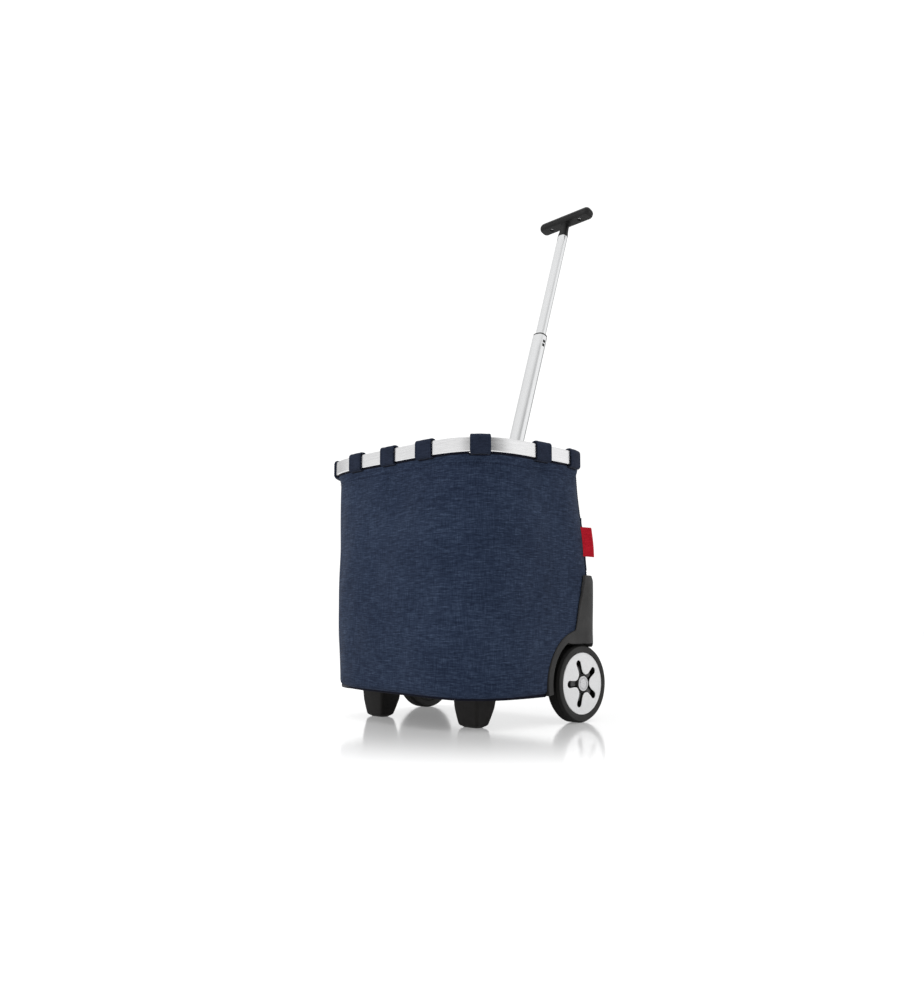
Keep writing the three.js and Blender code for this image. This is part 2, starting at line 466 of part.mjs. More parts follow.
gripUpper = gripUpper.subtract(prism(shapeOf(buttonOval(0.8)), gs + 2.4, gs + gt + 5, poleFrame));
add('release_button', toSolid(moved(loft([
  { z: gs + 5.8, pts: buttonOval(0) }, { z: gs + gt + 0.4, pts: buttonOval(0) }, { z: gs + gt + 1.4, pts: buttonOval(-3) }]), poleFrame)), 'black');
add('release_rod', rod(2.1, uBot - 4, gs + 5.5, poleFrame, 12), 'steel');
for (const q of [-1, 1]) {
  const m = new THREE.Matrix4().multiplyMatrices(poleFrame, new THREE.Matrix4().makeBasis(V(1, 0, 0), V(0, -1, 0), V(0, 0, -1)).setPosition(q * 38, 0, gs + 5));
  gripLower = gripLower.subtract(rod(2.3, -10, 30, m, 12)).subtract(rod(4.4, 9.7, 30, m, 16));
  gripUpper = gripUpper.subtract(rod(2.3, -0.3, 30, m, 12));
  add(`grip_screw_${q > 0 ? 'right' : 'left'}`, screw(2, 3.9, 10, 2, m), 'steel');
}
add('grip_lower', gripLower, 'black');
add('grip_upper', gripUpper, 'black');

export default group;
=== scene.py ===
import math
import bpy
import bmesh
import numpy as np
from mathutils import Matrix, Vector


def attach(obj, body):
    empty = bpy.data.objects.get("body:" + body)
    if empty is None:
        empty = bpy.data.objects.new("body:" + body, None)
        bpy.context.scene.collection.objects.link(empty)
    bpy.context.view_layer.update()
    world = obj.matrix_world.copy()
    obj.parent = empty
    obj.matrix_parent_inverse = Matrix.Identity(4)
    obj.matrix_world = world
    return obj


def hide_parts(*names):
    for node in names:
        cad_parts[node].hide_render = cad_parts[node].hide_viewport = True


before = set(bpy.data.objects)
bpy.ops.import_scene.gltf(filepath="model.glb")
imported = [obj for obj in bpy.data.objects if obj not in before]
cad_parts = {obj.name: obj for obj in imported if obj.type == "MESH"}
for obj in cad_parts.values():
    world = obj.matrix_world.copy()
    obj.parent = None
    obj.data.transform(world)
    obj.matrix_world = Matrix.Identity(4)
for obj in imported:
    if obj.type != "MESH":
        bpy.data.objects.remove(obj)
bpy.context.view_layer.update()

Y0 = 92.8                      # bag centre to the row's origin, mm
SCENE = bpy.context.scene

# --------------------------------------------------------------- camera first
cam_data = bpy.data.cameras.new("view_camera")
cam = bpy.data.objects.new("view_camera", cam_data)
SCENE.collection.objects.link(cam)
cam_data.sensor_width = 36.0
cam_data.lens = 902.09 / 1000.0 * 36.0
cam_data.clip_start = 0.05
cam_data.clip_end = 60.0
cam.location = (1.1687, -1.1288 - Y0 / 1000, 0.1748)
cam.rotation_euler = (math.radians(90 + 7.45), 0.0, math.radians(45.53))
SCENE.camera = cam


# ----------------------------------------------------------------- mesh tools
def to_row(v):
    v = np.asarray(v, float).reshape(-1, 3).copy()
    v[:, 1] -= Y0
    return v / 1000.0


def make(name, verts, faces, mats, smooth=True, angle=40.0, face_mat=None):
    """Mesh object from points in bag millimetres."""
    me = bpy.data.meshes.new(name)
    me.from_pydata(to_row(verts).tolist(), [], [list(map(int, f)) for f in faces])
    me.update()
    for m in (mats if isinstance(mats, (list, tuple)) else [mats]):
        me.materials.append(m)
    if face_mat is not None:
        me.polygons.foreach_set("material_index", np.asarray(face_mat, np.int32))
    ob = bpy.data.objects.new(name, me)
    SCENE.collection.objects.link(ob)
    fix(ob)
    if smooth:
        shade(ob, angle)
    return ob


def fix(ob):
    bm = bmesh.new()
    bm.from_mesh(ob.data)
    bmesh.ops.remove_doubles(bm, verts=bm.verts, dist=2e-6)
    bmesh.ops.dissolve_degenerate(bm, edges=bm.edges, dist=1e-6)
    bmesh.ops.recalc_face_normals(bm, faces=bm.faces)
    bm.to_mesh(ob.data)
    bm.free()
    ob.data.update()


def shade(ob, angle=40.0):
    me = ob.data
    me.polygons.foreach_set("use_smooth", np.ones(len(me.polygons), bool))
    bm = bmesh.new()
    bm.from_mesh(me)
    lim = math.radians(angle)
    for e in bm.edges:
        e.smooth = not (len(e.link_faces) == 2 and e.calc_face_angle(0.0) > lim)
    bm.to_mesh(me)
    bm.free()
    me.update()


def apply_mods(ob):
    dg = bpy.context.evaluated_depsgraph_get()
    me = bpy.data.meshes.new_from_object(ob.evaluated_get(dg), preserve_all_data_layers=True, depsgraph=dg)
    old = ob.data
    ob.modifiers.clear()
    ob.data = me
    bpy.data.meshes.remove(old)
    return ob


def cut(ob, cutter, op="DIFFERENCE", keep=False):
    m = ob.modifiers.new("cut", "BOOLEAN")
    m.operation = op
    m.object = cutter
    m.solver = "MANIFOLD" if "MANIFOLD" in [i.identifier for i in m.bl_rna.properties["solver"].enum_items] else "EXACT"
    before = len(ob.data.polygons)
    apply_mods(ob)
    if len(ob.data.polygons) == 0:
        raise RuntimeError("empty boolean on " + ob.name + " from " + str(before))
    if not keep:
        me = cutter.data
        bpy.data.objects.remove(cutter)
        bpy.data.meshes.remove(me)
    return ob


def soften(ob, width, seg=3, angle=30.0):
    """Rounds the sharp edges, width in mm."""
    m = ob.modifiers.new("bevel", "BEVEL")
    m.width = width / 1000.0
    m.segments = seg
    m.limit_method = "ANGLE"
    m.angle_limit = math.radians(angle)
    m.harden_normals = False
    m.use_clamp_overlap = True
    apply_mods(ob)
    return ob


def melt(ob, voxel, smooth=4, factor=0.5, decimate=None):
    """Unites overlapping closed solids into one moulded body with soft edges."""
    m = ob.modifiers.new("remesh", "REMESH")
    m.mode = "VOXEL"
    m.voxel_size = voxel / 1000.0
    apply_mods(ob)
    if smooth:
        s = ob.modifiers.new("smooth", "SMOOTH")
        s.factor = factor
        s.iterations = smooth
        apply_mods(ob)
    if decimate:
        d = ob.modifiers.new("dec", "DECIMATE")
        d.ratio = decimate
        apply_mods(ob)
    shade(ob, 60)
    return ob


def join(name, obs):
    verts, faces, fm, mats, base = [], [], [], [], 0
    for o in obs:
        me = o.data
        co = np.empty(len(me.vertices) * 3)
        me.vertices.foreach_get("co", co)
        verts += co.reshape(-1, 3).tolist()
        remap = []
        for mt in me.materials:
            if mt not in mats:
                mats.append(mt)
            remap.append(mats.index(mt))
        for p in me.polygons:
            faces.append([base + i for i in p.vertices])
            fm.append(remap[p.material_index] if remap else 0)
        base += len(me.vertices)
    out = bpy.data.meshes.new(name)
    out.from_pydata(verts, [], faces)
    for mt in mats:
        out.materials.append(mt)
    out.polygons.foreach_set("material_index", np.asarray(fm, np.int32))
    out.update()
    for o in obs:
        me = o.data
        bpy.data.objects.remove(o)
        bpy.data.meshes.remove(me)
    ob = bpy.data.objects.new(name, out)
    SCENE.collection.objects.link(ob)
    return ob


def grid_faces(m, n, close_m=False, close_n=False, base=0, flip=False):
    i = np.arange(m if close_m else m - 1)
    j = np.arange(n if close_n else n - 1)
    I, J = np.meshgrid(i, j, indexing="ij")
    I2, J2 = (I + 1) % m, (J + 1) % n
    f = np.stack([I * n + J, I * n + J2, I2 * n + J2, I2 * n + J], -1).reshape(-1, 4) + base
    return f[:, ::-1] if flip else f


def loft(rings, cap=True):
    """rings: (M, N, 3) closed in N, capped by one face at each end."""
    rings = np.asarray(rings, float)
    m, n = rings.shape[:2]
    faces = grid_faces(m, n, close_n=True).tolist()
    if cap:
        faces.append(list(range(n))[::-1])
        faces.append([(m - 1) * n + k for k in range(n)])
    return rings.reshape(-1, 3), faces


def torus(rings):
    rings = np.asarray(rings, float)
    m, n = rings.shape[:2]
    return rings.reshape(-1, 3), grid_faces(m, n, close_m=True, close_n=True).tolist()


def lathe(name, prof, mat, centre, axis_sign, seg=96, angle=35.0, pick=None):
    """Turned about the X axis through centre; prof is (radius, X distance) closed, or starting and ending on the axis."""
    prof = np.asarray(prof, float)
    open_axis = prof[0, 0] < 1e-6 and prof[-1, 0] < 1e-6
    t = np.linspace(0, 2 * np.pi, seg, endpoint=False)
    P = np.empty((len(prof), seg, 3))
    P[..., 0] = axis_sign * prof[:, 1][:, None]
    P[..., 1] = centre[0] + prof[:, 0][:, None] * np.cos(t)
    P[..., 2] = centre[1] + prof[:, 0][:, None] * np.sin(t)
    v, f = P.reshape(-1, 3), grid_faces(len(prof), seg, close_m=not open_axis, close_n=True).tolist()
    fmat = None
    if pick is not None:
        m = len(prof) if not open_axis else len(prof) - 1
        fmat = np.repeat([pick((prof[k] + prof[(k + 1) % len(prof)]) / 2) for k in range(m)], seg)
    return make(name, v, f, mat, angle=angle, face_mat=fmat)


def round_profile(points, radius, seg=4, closed=True):
    """Rounds the corners of a polyline profile; radius may be a list."""
    pts = [np.asarray(p, float) for p in points]
    n = len(pts)
    out = []
    for i in range(n):
        r = radius[i] if isinstance(radius, (list, tuple)) else radius
        if (not closed and i in (0, n - 1)) or r <= 0:
            out.append(pts[i])
            continue
        a, b, c = pts[i - 1], pts[i], pts[(i + 1) % n]
        u, w = a - b, c - b
        lu, lw = np.linalg.norm(u), np.linalg.norm(w)
        u, w = u / lu, w / lw
        cosv = np.clip(u @ w, -1, 1)
        half = math.acos(cosv) / 2
        if half > 1.54:
            out.append(b)
            continue
        d = min(r / math.tan(half), lu * 0.45, lw * 0.45)
        p0, p1 = b + u * d, b + w * d
        for k in range(seg + 1):
            q = k / seg
            out.append((1 - q) ** 2 * p0 + 2 * q * (1 - q) * b + q * q * p1)
    return np.array(out)


def prism_x(name, yz, x0, x1, mat, side=1):
    yz = np.asarray(yz, float)
    a = np.column_stack([np.full(len(yz), side * x0), yz])
    b = np.column_stack([np.full(len(yz), side * x1), yz])
    v, f = loft([a, b])
    return make(name, v, f, mat, smooth=False)


def arc_pts(cy, cz, r, d0, d1, n):
    t = np.radians(np.linspace(d0, d1, n))
    return np.column_stack([cy + r * np.cos(t), cz + r * np.sin(t)])


def sstep(a, b, x):
    t = np.clip((np.asarray(x, float) - a) / (b - a), 0, 1)
    return t * t * (3 - 2 * t)


def piece(ob, body, slot, *nodes):
    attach(ob, body)
    if nodes:
        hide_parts(*nodes)
    return ob


# ------------------------------------------------------------------ materials
class Mat:
    """Small builder for procedural node materials in object coordinates (metres)."""

    def __init__(self, name):
        self.m = bpy.data.materials.new(name)
        self.m.use_nodes = True
        self.t = self.m.node_tree
        self.b = next(n for n in self.t.nodes if n.type == "BSDF_PRINCIPLED")
        self.co = self.t.nodes.new("ShaderNodeTexCoord")

    def set(self, **kw):
        for k, v in kw.items():
            self.b.inputs[k.replace("_", " ")].default_value = v
        return self

    def map(self, scale=(1, 1, 1), rot=(0, 0, 0)):
        n = self.t.nodes.new("ShaderNodeMapping")
        n.inputs["Scale"].default_value = scale
        n.inputs["Rotation"].default_value = rot
        self.t.links.new(self.co.outputs["Object"], n.inputs["Vector"])
        return n.outputs["Vector"]

    def noise(self, scale, detail=4.0, rough=0.6, vec=None, rot=(0, 0, 0)):
        n = self.t.nodes.new("ShaderNodeTexNoise")
        n.inputs["Scale"].default_value = 1.0
        n.inputs["Detail"].default_value = detail
        n.inputs["Roughness"].default_value = rough
        s = (scale,) * 3 if isinstance(scale, (int, float)) else scale
        self.t.links.new(vec or self.map(s, rot), n.inputs["Vector"])
        return n.outputs["Fac"]

    def ramp(self, fac, stops):
        n = self.t.nodes.new("ShaderNodeValToRGB")
        e = n.color_ramp.elements
        while len(e) < len(stops):
            e.new(0.5)
        for k, (p, c) in enumerate(stops):
            e[k].position = p
            e[k].color = (*c, 1.0) if len(c) == 3 else c
        self.t.links.new(fac, n.inputs["Fac"])
        return n.outputs["Color"]

    def math(self, op, a, b=None, c=None):
        n = self.t.nodes.new("ShaderNodeMath")
        n.operation = op
        for k, v in enumerate((a, b, c)):
            if v is None:
                continue
            if isinstance(v, (int, float)):
                n.inputs[k].default_value = v
            else:
                self.t.links.new(v, n.inputs[k])
        return n.outputs[0]

    def mix(self, fac, a, b, blend="MIX"):
        n = self.t.nodes.new("ShaderNodeMix")
        n.data_type = "RGBA"
        n.blend_type = blend
        for sock, v in ((n.inputs[0], fac), (n.inputs[6], a), (n.inputs[7], b)):
            if isinstance(v, (int, float)):
                sock.default_value = v
            elif isinstance(v, tuple):
                sock.default_value = (*v, 1.0)
            else:
                self.t.links.new(v, sock)
        return n.outputs[2]

    def range(self, v, a, b, c, d):
        n = self.t.nodes.new("ShaderNodeMapRange")
        for k, x in enumerate((a, b, c, d)):
            n.inputs[k + 1].default_value = x
        self.t.links.new(v, n.inputs[0])
        return n.outputs[0]

    def color(self, sock):
        self.t.links.new(sock, self.b.inputs["Base Color"])
        return self

    def rough(self, sock):
        self.t.links.new(sock, self.b.inputs["Roughness"])
        return self

    def bump(self, height, strength=0.3, distance=0.0005):
        n = self.t.nodes.new("ShaderNodeBump")
        n.inputs["Strength"].default_value = strength
        n.inputs["Distance"].default_value = distance
        self.t.links.new(height, n.inputs["Height"])
        self.t.links.new(n.outputs["Normal"], self.b.inputs["Normal"])
        return self


def fabric(name, dark, mid, light, slub=0.9, sheen=0.05):
    """Melange canvas: long horizontal slubs over a fine warp and weft."""
    m = Mat(name)
    slubs = m.noise((44, 44, 520), 3.0, 0.65)            # long weft slubs
    fine = m.noise((110, 110, 1400), 2.0, 0.6)           # single weft yarns
    warp = m.noise((900, 900, 55), 2.0, 0.6)             # warp yarns
    blotch = m.noise((9, 9, 13), 2.0, 0.5)               # slow shade drift
    mixv = m.math("ADD", m.math("MULTIPLY", slubs, 0.43 * slub), m.math("MULTIPLY", fine, 0.34))
    mixv = m.math("ADD", mixv, m.math("MULTIPLY", warp, 0.26))
    mixv = m.math("ADD", mixv, m.math("MULTIPLY", blotch, 0.1))
    c = 0.5 * (0.43 * slub + 0.34 + 0.26 + 0.1)
    col = m.ramp(mixv, [(c - 0.11, dark), (c - 0.01, mid), (c + 0.055, tuple(0.6 * x + 0.4 * y for x, y in zip(mid, light))), (c + 0.13, light)])
    m.color(col)
    m.rough(m.range(fine, 0.3, 0.7, 0.78, 0.95))
    h = m.math("ADD", m.math("MULTIPLY", fine, 0.6), m.math("MULTIPLY", warp, 0.6))
    h = m.math("ADD", h, m.math("MULTIPLY", slubs, 0.5))
    m.bump(h, 0.55, 0.0006)
    m.set(Sheen_Weight=sheen, Sheen_Roughness=0.45, Specular_IOR_Level=0.03)
    return m.m


def webbing(name, dark, light):
    m = Mat(name)
    rib = m.noise((120, 120, 1500), 1.0, 0.5)
    yarn = m.noise((1300, 1300, 1300), 2.0, 0.6)
    blotch = m.noise((40, 40, 60), 3.0, 0.6)
    v = m.math("ADD", m.math("MULTIPLY", rib, 0.4), m.math("ADD", m.math("MULTIPLY", yarn, 0.35), m.math("MULTIPLY", blotch, 0.25)))
    m.color(m.ramp(v, [(0.36, dark), (0.62, light)]))
    m.rough(m.range(yarn, 0.3, 0.7, 0.72, 0.92))
    m.bump(m.math("ADD", rib, yarn), 0.45, 0.0004)
    m.set(Sheen_Weight=0.04, Sheen_Roughness=0.4, Specular_IOR_Level=0.03)
    return m.m


def moulded(name, base, r0, r1, grain=1400.0, strength=0.25, spec=0.4, wear=0.25):
    m = Mat(name)
    fine = m.noise(grain, 3.0, 0.6)
    cloud = m.noise((14, 14, 22), 4.0, 0.55)
    scuff = m.noise((220, 60, 60), 5.0, 0.7)
    lo = tuple(c * 0.8 for c in base)
    hi = tuple(min(1.0, c * (1.0 + wear) + 0.004) for c in base)
    v = m.math("ADD", m.math("MULTIPLY", cloud, 0.7), m.math("MULTIPLY", fine, 0.3))
    m.color(m.ramp(v, [(0.36, lo), (0.5, base), (0.66, hi)]))
    m.rough(m.range(m.math("ADD", m.math("MULTIPLY", scuff, 0.6), m.math("MULTIPLY", fine, 0.4)), 0.35, 0.65, r0, r1))
    m.bump(fine, strength, 0.0003)
    m.set(Specular_IOR_Level=spec)
    return m.m


def brushed(name, base, scale, r0, r1, strength=0.12, aniso=0.0, var=0.14, metal=1.0):
    """Brushed aluminium: scale stretches the grain along the brushing direction."""
    m = Mat(name)
    g1 = m.noise(scale, 4.0, 0.65)
    g2 = m.noise(tuple(s * 2.7 for s in scale), 3.0, 0.6)
    cloud = m.noise((8, 8, 8), 3.0, 0.5)
    v = m.math("ADD", m.math("MULTIPLY", g1, 0.6), m.math("MULTIPLY", g2, 0.4))
    lo = tuple(c * (1 - var) for c in base)
    hi = tuple(min(1.0, c * (1 + var * 0.5)) for c in base)
    m.color(m.ramp(m.math("ADD", m.math("MULTIPLY", v, 0.8), m.math("MULTIPLY", cloud, 0.2)), [(0.38, lo), (0.52, base), (0.64, hi)]))
    m.rough(m.range(v, 0.35, 0.65, r0, r1))
    m.bump(v, strength, 0.00025)
    m.set(Metallic=metal, Specular_IOR_Level=0.5)
    if aniso:
        m.set(Anisotropic=aniso)
    return m.m


M_FABRIC = fabric("bag_canvas", (0.0086, 0.0134, 0.0276), (0.0162, 0.0246, 0.0482), (0.0435, 0.062, 0.104))
M_LINING = fabric("bag_lining", (0.006, 0.0085, 0.018), (0.0105, 0.016, 0.033), (0.02, 0.03, 0.055), slub=0.6)
M_WEB = webbing("loop_webbing", (0.0085, 0.0115, 0.0215), (0.021, 0.0275, 0.0475))
M_BIND = webbing("binding_tape", (0.0035, 0.004, 0.008), (0.009, 0.010, 0.018))
M_THREAD = webbing("seam_thread", (0.010, 0.014, 0.032), (0.026, 0.035, 0.07))
M_RED = webbing("tag_tape", (0.30, 0.006, 0.014), (0.50, 0.016, 0.03))
M_REDTH = webbing("tag_thread", (0.5, 0.02, 0.03), (0.75, 0.06, 0.07))
M_BAND = brushed("rim_aluminium", (0.725, 0.725, 0.73), (26, 26, 1100), 0.2, 0.31, 0.1, var=0.17)
M_TUBE = brushed("tube_aluminium", (0.70, 0.705, 0.71), (420, 420, 9), 0.2, 0.27, 0.02, var=0.05)
M_BRACKET = moulded("bracket_moulding", (0.0245, 0.024, 0.024), 0.5, 0.66, 1200, 0.3, 0.22)
M_BLACK = moulded("black_moulding", (0.0048, 0.0048, 0.005), 0.42, 0.56, 1600, 0.2, 0.22)
M_FOOT = moulded("foot_moulding", (0.0062, 0.0053, 0.0048), 0.5, 0.65, 1100, 0.3, 0.2)
M_CORE = moulded("wheel_core_moulding", (0.006, 0.006, 0.006), 0.45, 0.6, 1500, 0.2, 0.2)
M_SPOKE = moulded("wheel_rib_moulding", (0.045, 0.045, 0.047), 0.4, 0.55, 1500, 0.2, 0.45)
M_BOARD = moulded("floor_board", (0.016, 0.018, 0.026), 0.6, 0.8, 500, 0.5, 0.3)
# tyre tread: black rubber darkened further with painted shade, since the tread lies in shade under the fender; the side
# wall below keeps the lighter rubber tone
M_TREAD_SHADE = moulded("tyre_tread_painted_shade", (0.0055, 0.0053, 0.005), 0.6, 0.8, 900, 0.35, 0.16, 0.3)
M_WALL = moulded("tyre_side_wall", (0.0165, 0.0162, 0.0158), 0.55, 0.72, 900, 0.3, 0.25, 0.3)
M_SILVER = brushed("wheel_silver", (0.66, 0.66, 0.665), (520, 520, 520), 0.38, 0.5, 0.08, metal=0.2)
M_CHROME = brushed("cap_silver", (0.5, 0.5, 0.51), (500, 500, 500), 0.2, 0.32, 0.04, metal=0.9)
M_STEEL = brushed("zinc_steel", (0.56, 0.56, 0.57), (600, 600, 600), 0.28, 0.42, 0.06)

# ------------------------------------------------------------ bag as a surface
LEVELS = [
    # z, half width, front, rear, front squareness, rear squareness
    (44, 202.0, 157.0, 157.0, 3.3, 7.0), (140, 203.5, 158, 161, 3.35, 7.0), (250, 203, 157, 160, 3.5, 6.8),
    (300, 203, 156, 158, 3.6, 5.8), (350, 202.5, 155, 157, 3.75, 4.8), (431.6, 202, 153, 156.6, 4.0, 4.1), (440, 202, 153, 156.6, 4.0, 4.1),
]
ZS = np.arange(44.0, 440.1, 2.0)
_L = np.array(LEVELS, float)
PAR = np.array([np.interp(ZS, _L[:, 0], _L[:, k]) for k in range(1, 6)])
ker = np.exp(-0.5 * (np.arange(-12, 13) / 6.0) ** 2)
ker /= ker.sum()
PAR = np.array([np.convolve(np.pad(p, 12, mode="edge"), ker, mode="valid") for p in PAR])


def outline(a, bf, br, nf, nr, count):
    """Closed outline, anticlockwise from the rear centre, spaced evenly by length."""
    t = np.pi / 2 + np.linspace(0, 2 * np.pi, 2881)
    c, s = np.cos(t), np.sin(t)
    b = np.where(s > 0, br, bf)
    n = np.where(s > 0, nr, nf)
    r = (np.abs(c / a) ** n + np.abs(s / b) ** n) ** (-1 / n)
    p = np.column_stack([r * c, r * s])
    d = np.concatenate([[0], np.cumsum(np.linalg.norm(np.diff(p, axis=0), axis=1))])
    want = np.linspace(0, d[-1], count, endpoint=False)
    return np.column_stack([np.interp(want, d, p[:, 0]), np.interp(want, d, p[:, 1])]), d[-1]


def normals2(p):
    t = np.roll(p, -1, 0) - np.roll(p, 1, 0)
    t /= np.linalg.norm(t, axis=1)[:, None]
    return np.column_stack([t[:, 1], -t[:, 0]])


NSF = 1440
TAB = np.empty((len(ZS), NSF, 2))
TNR = np.empty((len(ZS), NSF, 2))
for i in range(len(ZS)):
    TAB[i], _ = outline(*PAR[:, i], NSF)
    TNR[i] = normals2(TAB[i])
S_GRID = np.arange(NSF) / NSF


def folds(s, z, x, y):
    """Soft unevenness of the filled fabric, in mm outward."""
    tau = 2 * np.pi
    d = 0.9 * np.sin(tau * (3 * s + 0.13) + z / 71.0) * np.sin(z / 57.0 + 1.1)
    d += 0.7 * np.sin(tau * (7 * s + 0.41) - z / 43.0 + 0.8 * np.sin(tau * 2 * s))
    d += 0.45 * np.sin(tau * (13 * s + 0.2) + z / 31.0 + 1.3 * np.sin(z / 90.0))
    d += 0.28 * np.sin(tau * (23 * s + 0.7) - z / 19.0 + 1.7 * np.sin(tau * 3 * s))
    edge = sstep(48, 100, z) * (1 - 0.75 * sstep(380, 431, z))
    d *= 0.35 + 0.65 * edge
    # the filled panels bow out a little between the corners
    bow = np.clip(1 - np.abs(x / 203.0) ** 3, 0, 1) * np.clip(1 - np.abs(y / 158.0) ** 6, 0, 1)
    flat_y = np.clip(1 - np.abs(y / 158.0) ** 3, 0, 1) * (np.abs(x) > 150)
    flat_x = np.clip(1 - np.abs(x / 203.0) ** 3, 0, 1) * (np.abs(y) > 120)
    d += 1.6 * (flat_x + flat_y) * sstep(50, 150, z) * (1 - sstep(300, 425, z)) + 0 * bow
    # over the handle sleeve at the rear top
    d += 2.2 * np.exp(-((x / 26.0) ** 2)) * (y > 0) * sstep(330, 425, z)
    # held flat where the wheel brackets clamp it
    held = sstep(120, 160, np.abs(x)) * sstep(-10, 50, y) * (1 - sstep(262, 300, z))
    return d * (1 - held) - 0.35 * held


_x, _y = TAB[..., 0], TAB[..., 1]
TDI = folds(S_GRID[None, :] + 0 * _x, ZS[:, None] + 0 * _x, _x, _y)
TAB = TAB + TNR * TDI[..., None]
# loops pull shallow vertical tucks into the top of the fabric
LOOPS = []   # left empty and not used; the loops' s positions are kept in LOOP_S


def surf(s, z, d=0.0):
    """Point on the bag's outer surface at outline fraction s, height z, pushed out by d."""
    s, z, d = np.broadcast_arrays(np.asarray(s, float), np.asarray(z, float), np.asarray(d, float))
    zi = np.clip((z - ZS[0]) / 2.0, 0, len(ZS) - 1.001)
    i = zi.astype(int)
    fz = (zi - i)[..., None]
    si = (s % 1.0) * NSF
    j = si.astype(int) % NSF
    fs = (si - np.floor(si))[..., None]
    j2 = (j + 1) % NSF

    def pick(T):
        return (T[i, j] * (1 - fs) + T[i, j2] * fs) * (1 - fz) + (T[i + 1, j] * (1 - fs) + T[i + 1, j2] * fs) * fz
    p, n = pick(TAB), pick(TNR)
    n = n / np.linalg.norm(n, axis=-1, keepdims=True)
    xy = p + n * d[..., None]
    return np.concatenate([xy, z[..., None]], -1)


def s_near(x, y, z=431.0):
    i = int(np.clip(round((z - ZS[0]) / 2.0), 0, len(ZS) - 1))
    return float(np.argmin(np.hypot(TAB[i, :, 0] - x, TAB[i, :, 1] - y))) / NSF


# rim curve, the same maker as the bag's outline
RN = 2880
RIM, RIM_LEN = outline(212, 159, 159, 4.1, 4.1, RN)
RNR = normals2(RIM)


def rim(length, d=0.0):
    """Point on the rim curve at a length in mm from the rear centre, pushed out by d."""
    u = (np.asarray(length, float) / RIM_LEN * RN) % RN
    j = u.astype(int) % RN
    f = (u - np.floor(u))[..., None]
    j2 = (j + 1) % RN
    p = RIM[j] * (1 - f) + RIM[j2] * f
    n = RNR[j] * (1 - f) + RNR[j2] * f
    return p + n * np.asarray(d, float)[..., None]


def rim_near(x, y):
    return float(np.argmin(np.hypot(RIM[:, 0] - x, RIM[:, 1] - y))) / RN * RIM_LEN


LOOP_AT = {"loop_front_left": (-90, -159), "loop_front_middle": (0, -159), "loop_front_right": (90, -159)}
for sd, nm in ((-1, "left"), (1, "right")):
    LOOP_AT[f"loop_front_corner_{nm}"] = (sd * 191, -128)
    LOOP_AT[f"loop_{nm}_middle"] = (sd * 212, 0)
    LOOP_AT[f"loop_{nm}_rear"] = (sd * 205, 90)
    LOOP_AT[f"loop_rear_{nm}"] = (sd * 90, 159)
LOOP_S = {k: s_near(*v) for k, v in LOOP_AT.items()}


def loop_weight(s, half=0.0175, soft=0.02):
    w = np.zeros_like(np.asarray(s, float))
    for v in LOOP_S.values():
        d = np.abs((np.asarray(s) - v + 0.5) % 1.0 - 0.5)
        w = np.maximum(w, 1 - sstep(half, half + soft, d))
    return w


_top = TAB[int((431.6 - ZS[0]) / 2.0)]
_gap = np.array([np.min(np.hypot(RIM[::3, 0] - q[0], RIM[::3, 1] - q[1])) for q in _top[::4]])
RIM_GAP = np.interp(S_GRID, S_GRID[::4], _gap, period=1.0)


def hem_z(s):
    """Top of the fabric: under each loop it stops short, between the loops it tucks up to the band."""
    s = np.asarray(s, float) % 1.0
    w = loop_weight(s, 0.0128, 0.0014)
    return 435.7 * (1 - w) + 433.6 * w


# ------------------------------------------------------------------ bag fabric
WALL = 2.2


_foot = TAB[3]


def low_z(s, base=False):
    """Lower edge: lifted a little at the front left, and beside the brackets where the welt shows."""
    s = np.asarray(s, float) % 1.0
    x = np.interp(s, S_GRID, _foot[:, 0], period=1.0)
    y = np.interp(s, S_GRID, _foot[:, 1], period=1.0)
    lift = np.interp(x, [-203, -140, -60, 0, 50, 100, 150], [6.4, 6.4, 4.8, 4.0, 3.0, 1.6, 0.0]) * (1 - sstep(-110, 60, y))
    if not base:
        lift = lift + 2.6 * sstep(-70, 12, y) * (np.abs(x) > 100)
    return lift


def lean(s, z):
    """Between the loops the hem leans out until it sits right under the band."""
    gap = np.interp(np.asarray(s, float) % 1.0, S_GRID, RIM_GAP, period=1.0)
    w = 1 - loop_weight(s, 0.0142, 0.002)
    rear = 1 - sstep(24, 34, np.abs(np.interp(np.asarray(s, float) % 1.0, S_GRID, _top[:, 0], period=1.0))) * 1.0
    back = rear * (np.interp(np.asarray(s, float) % 1.0, S_GRID, _top[:, 1], period=1.0) > 0)
    return np.clip(gap - 5.0, 0, 4.6) * (0.55 + 0.45 * w) * (1 - back) * sstep(421, 433.5, z) + 0.9 * (1 - w) * sstep(420, 431, z)


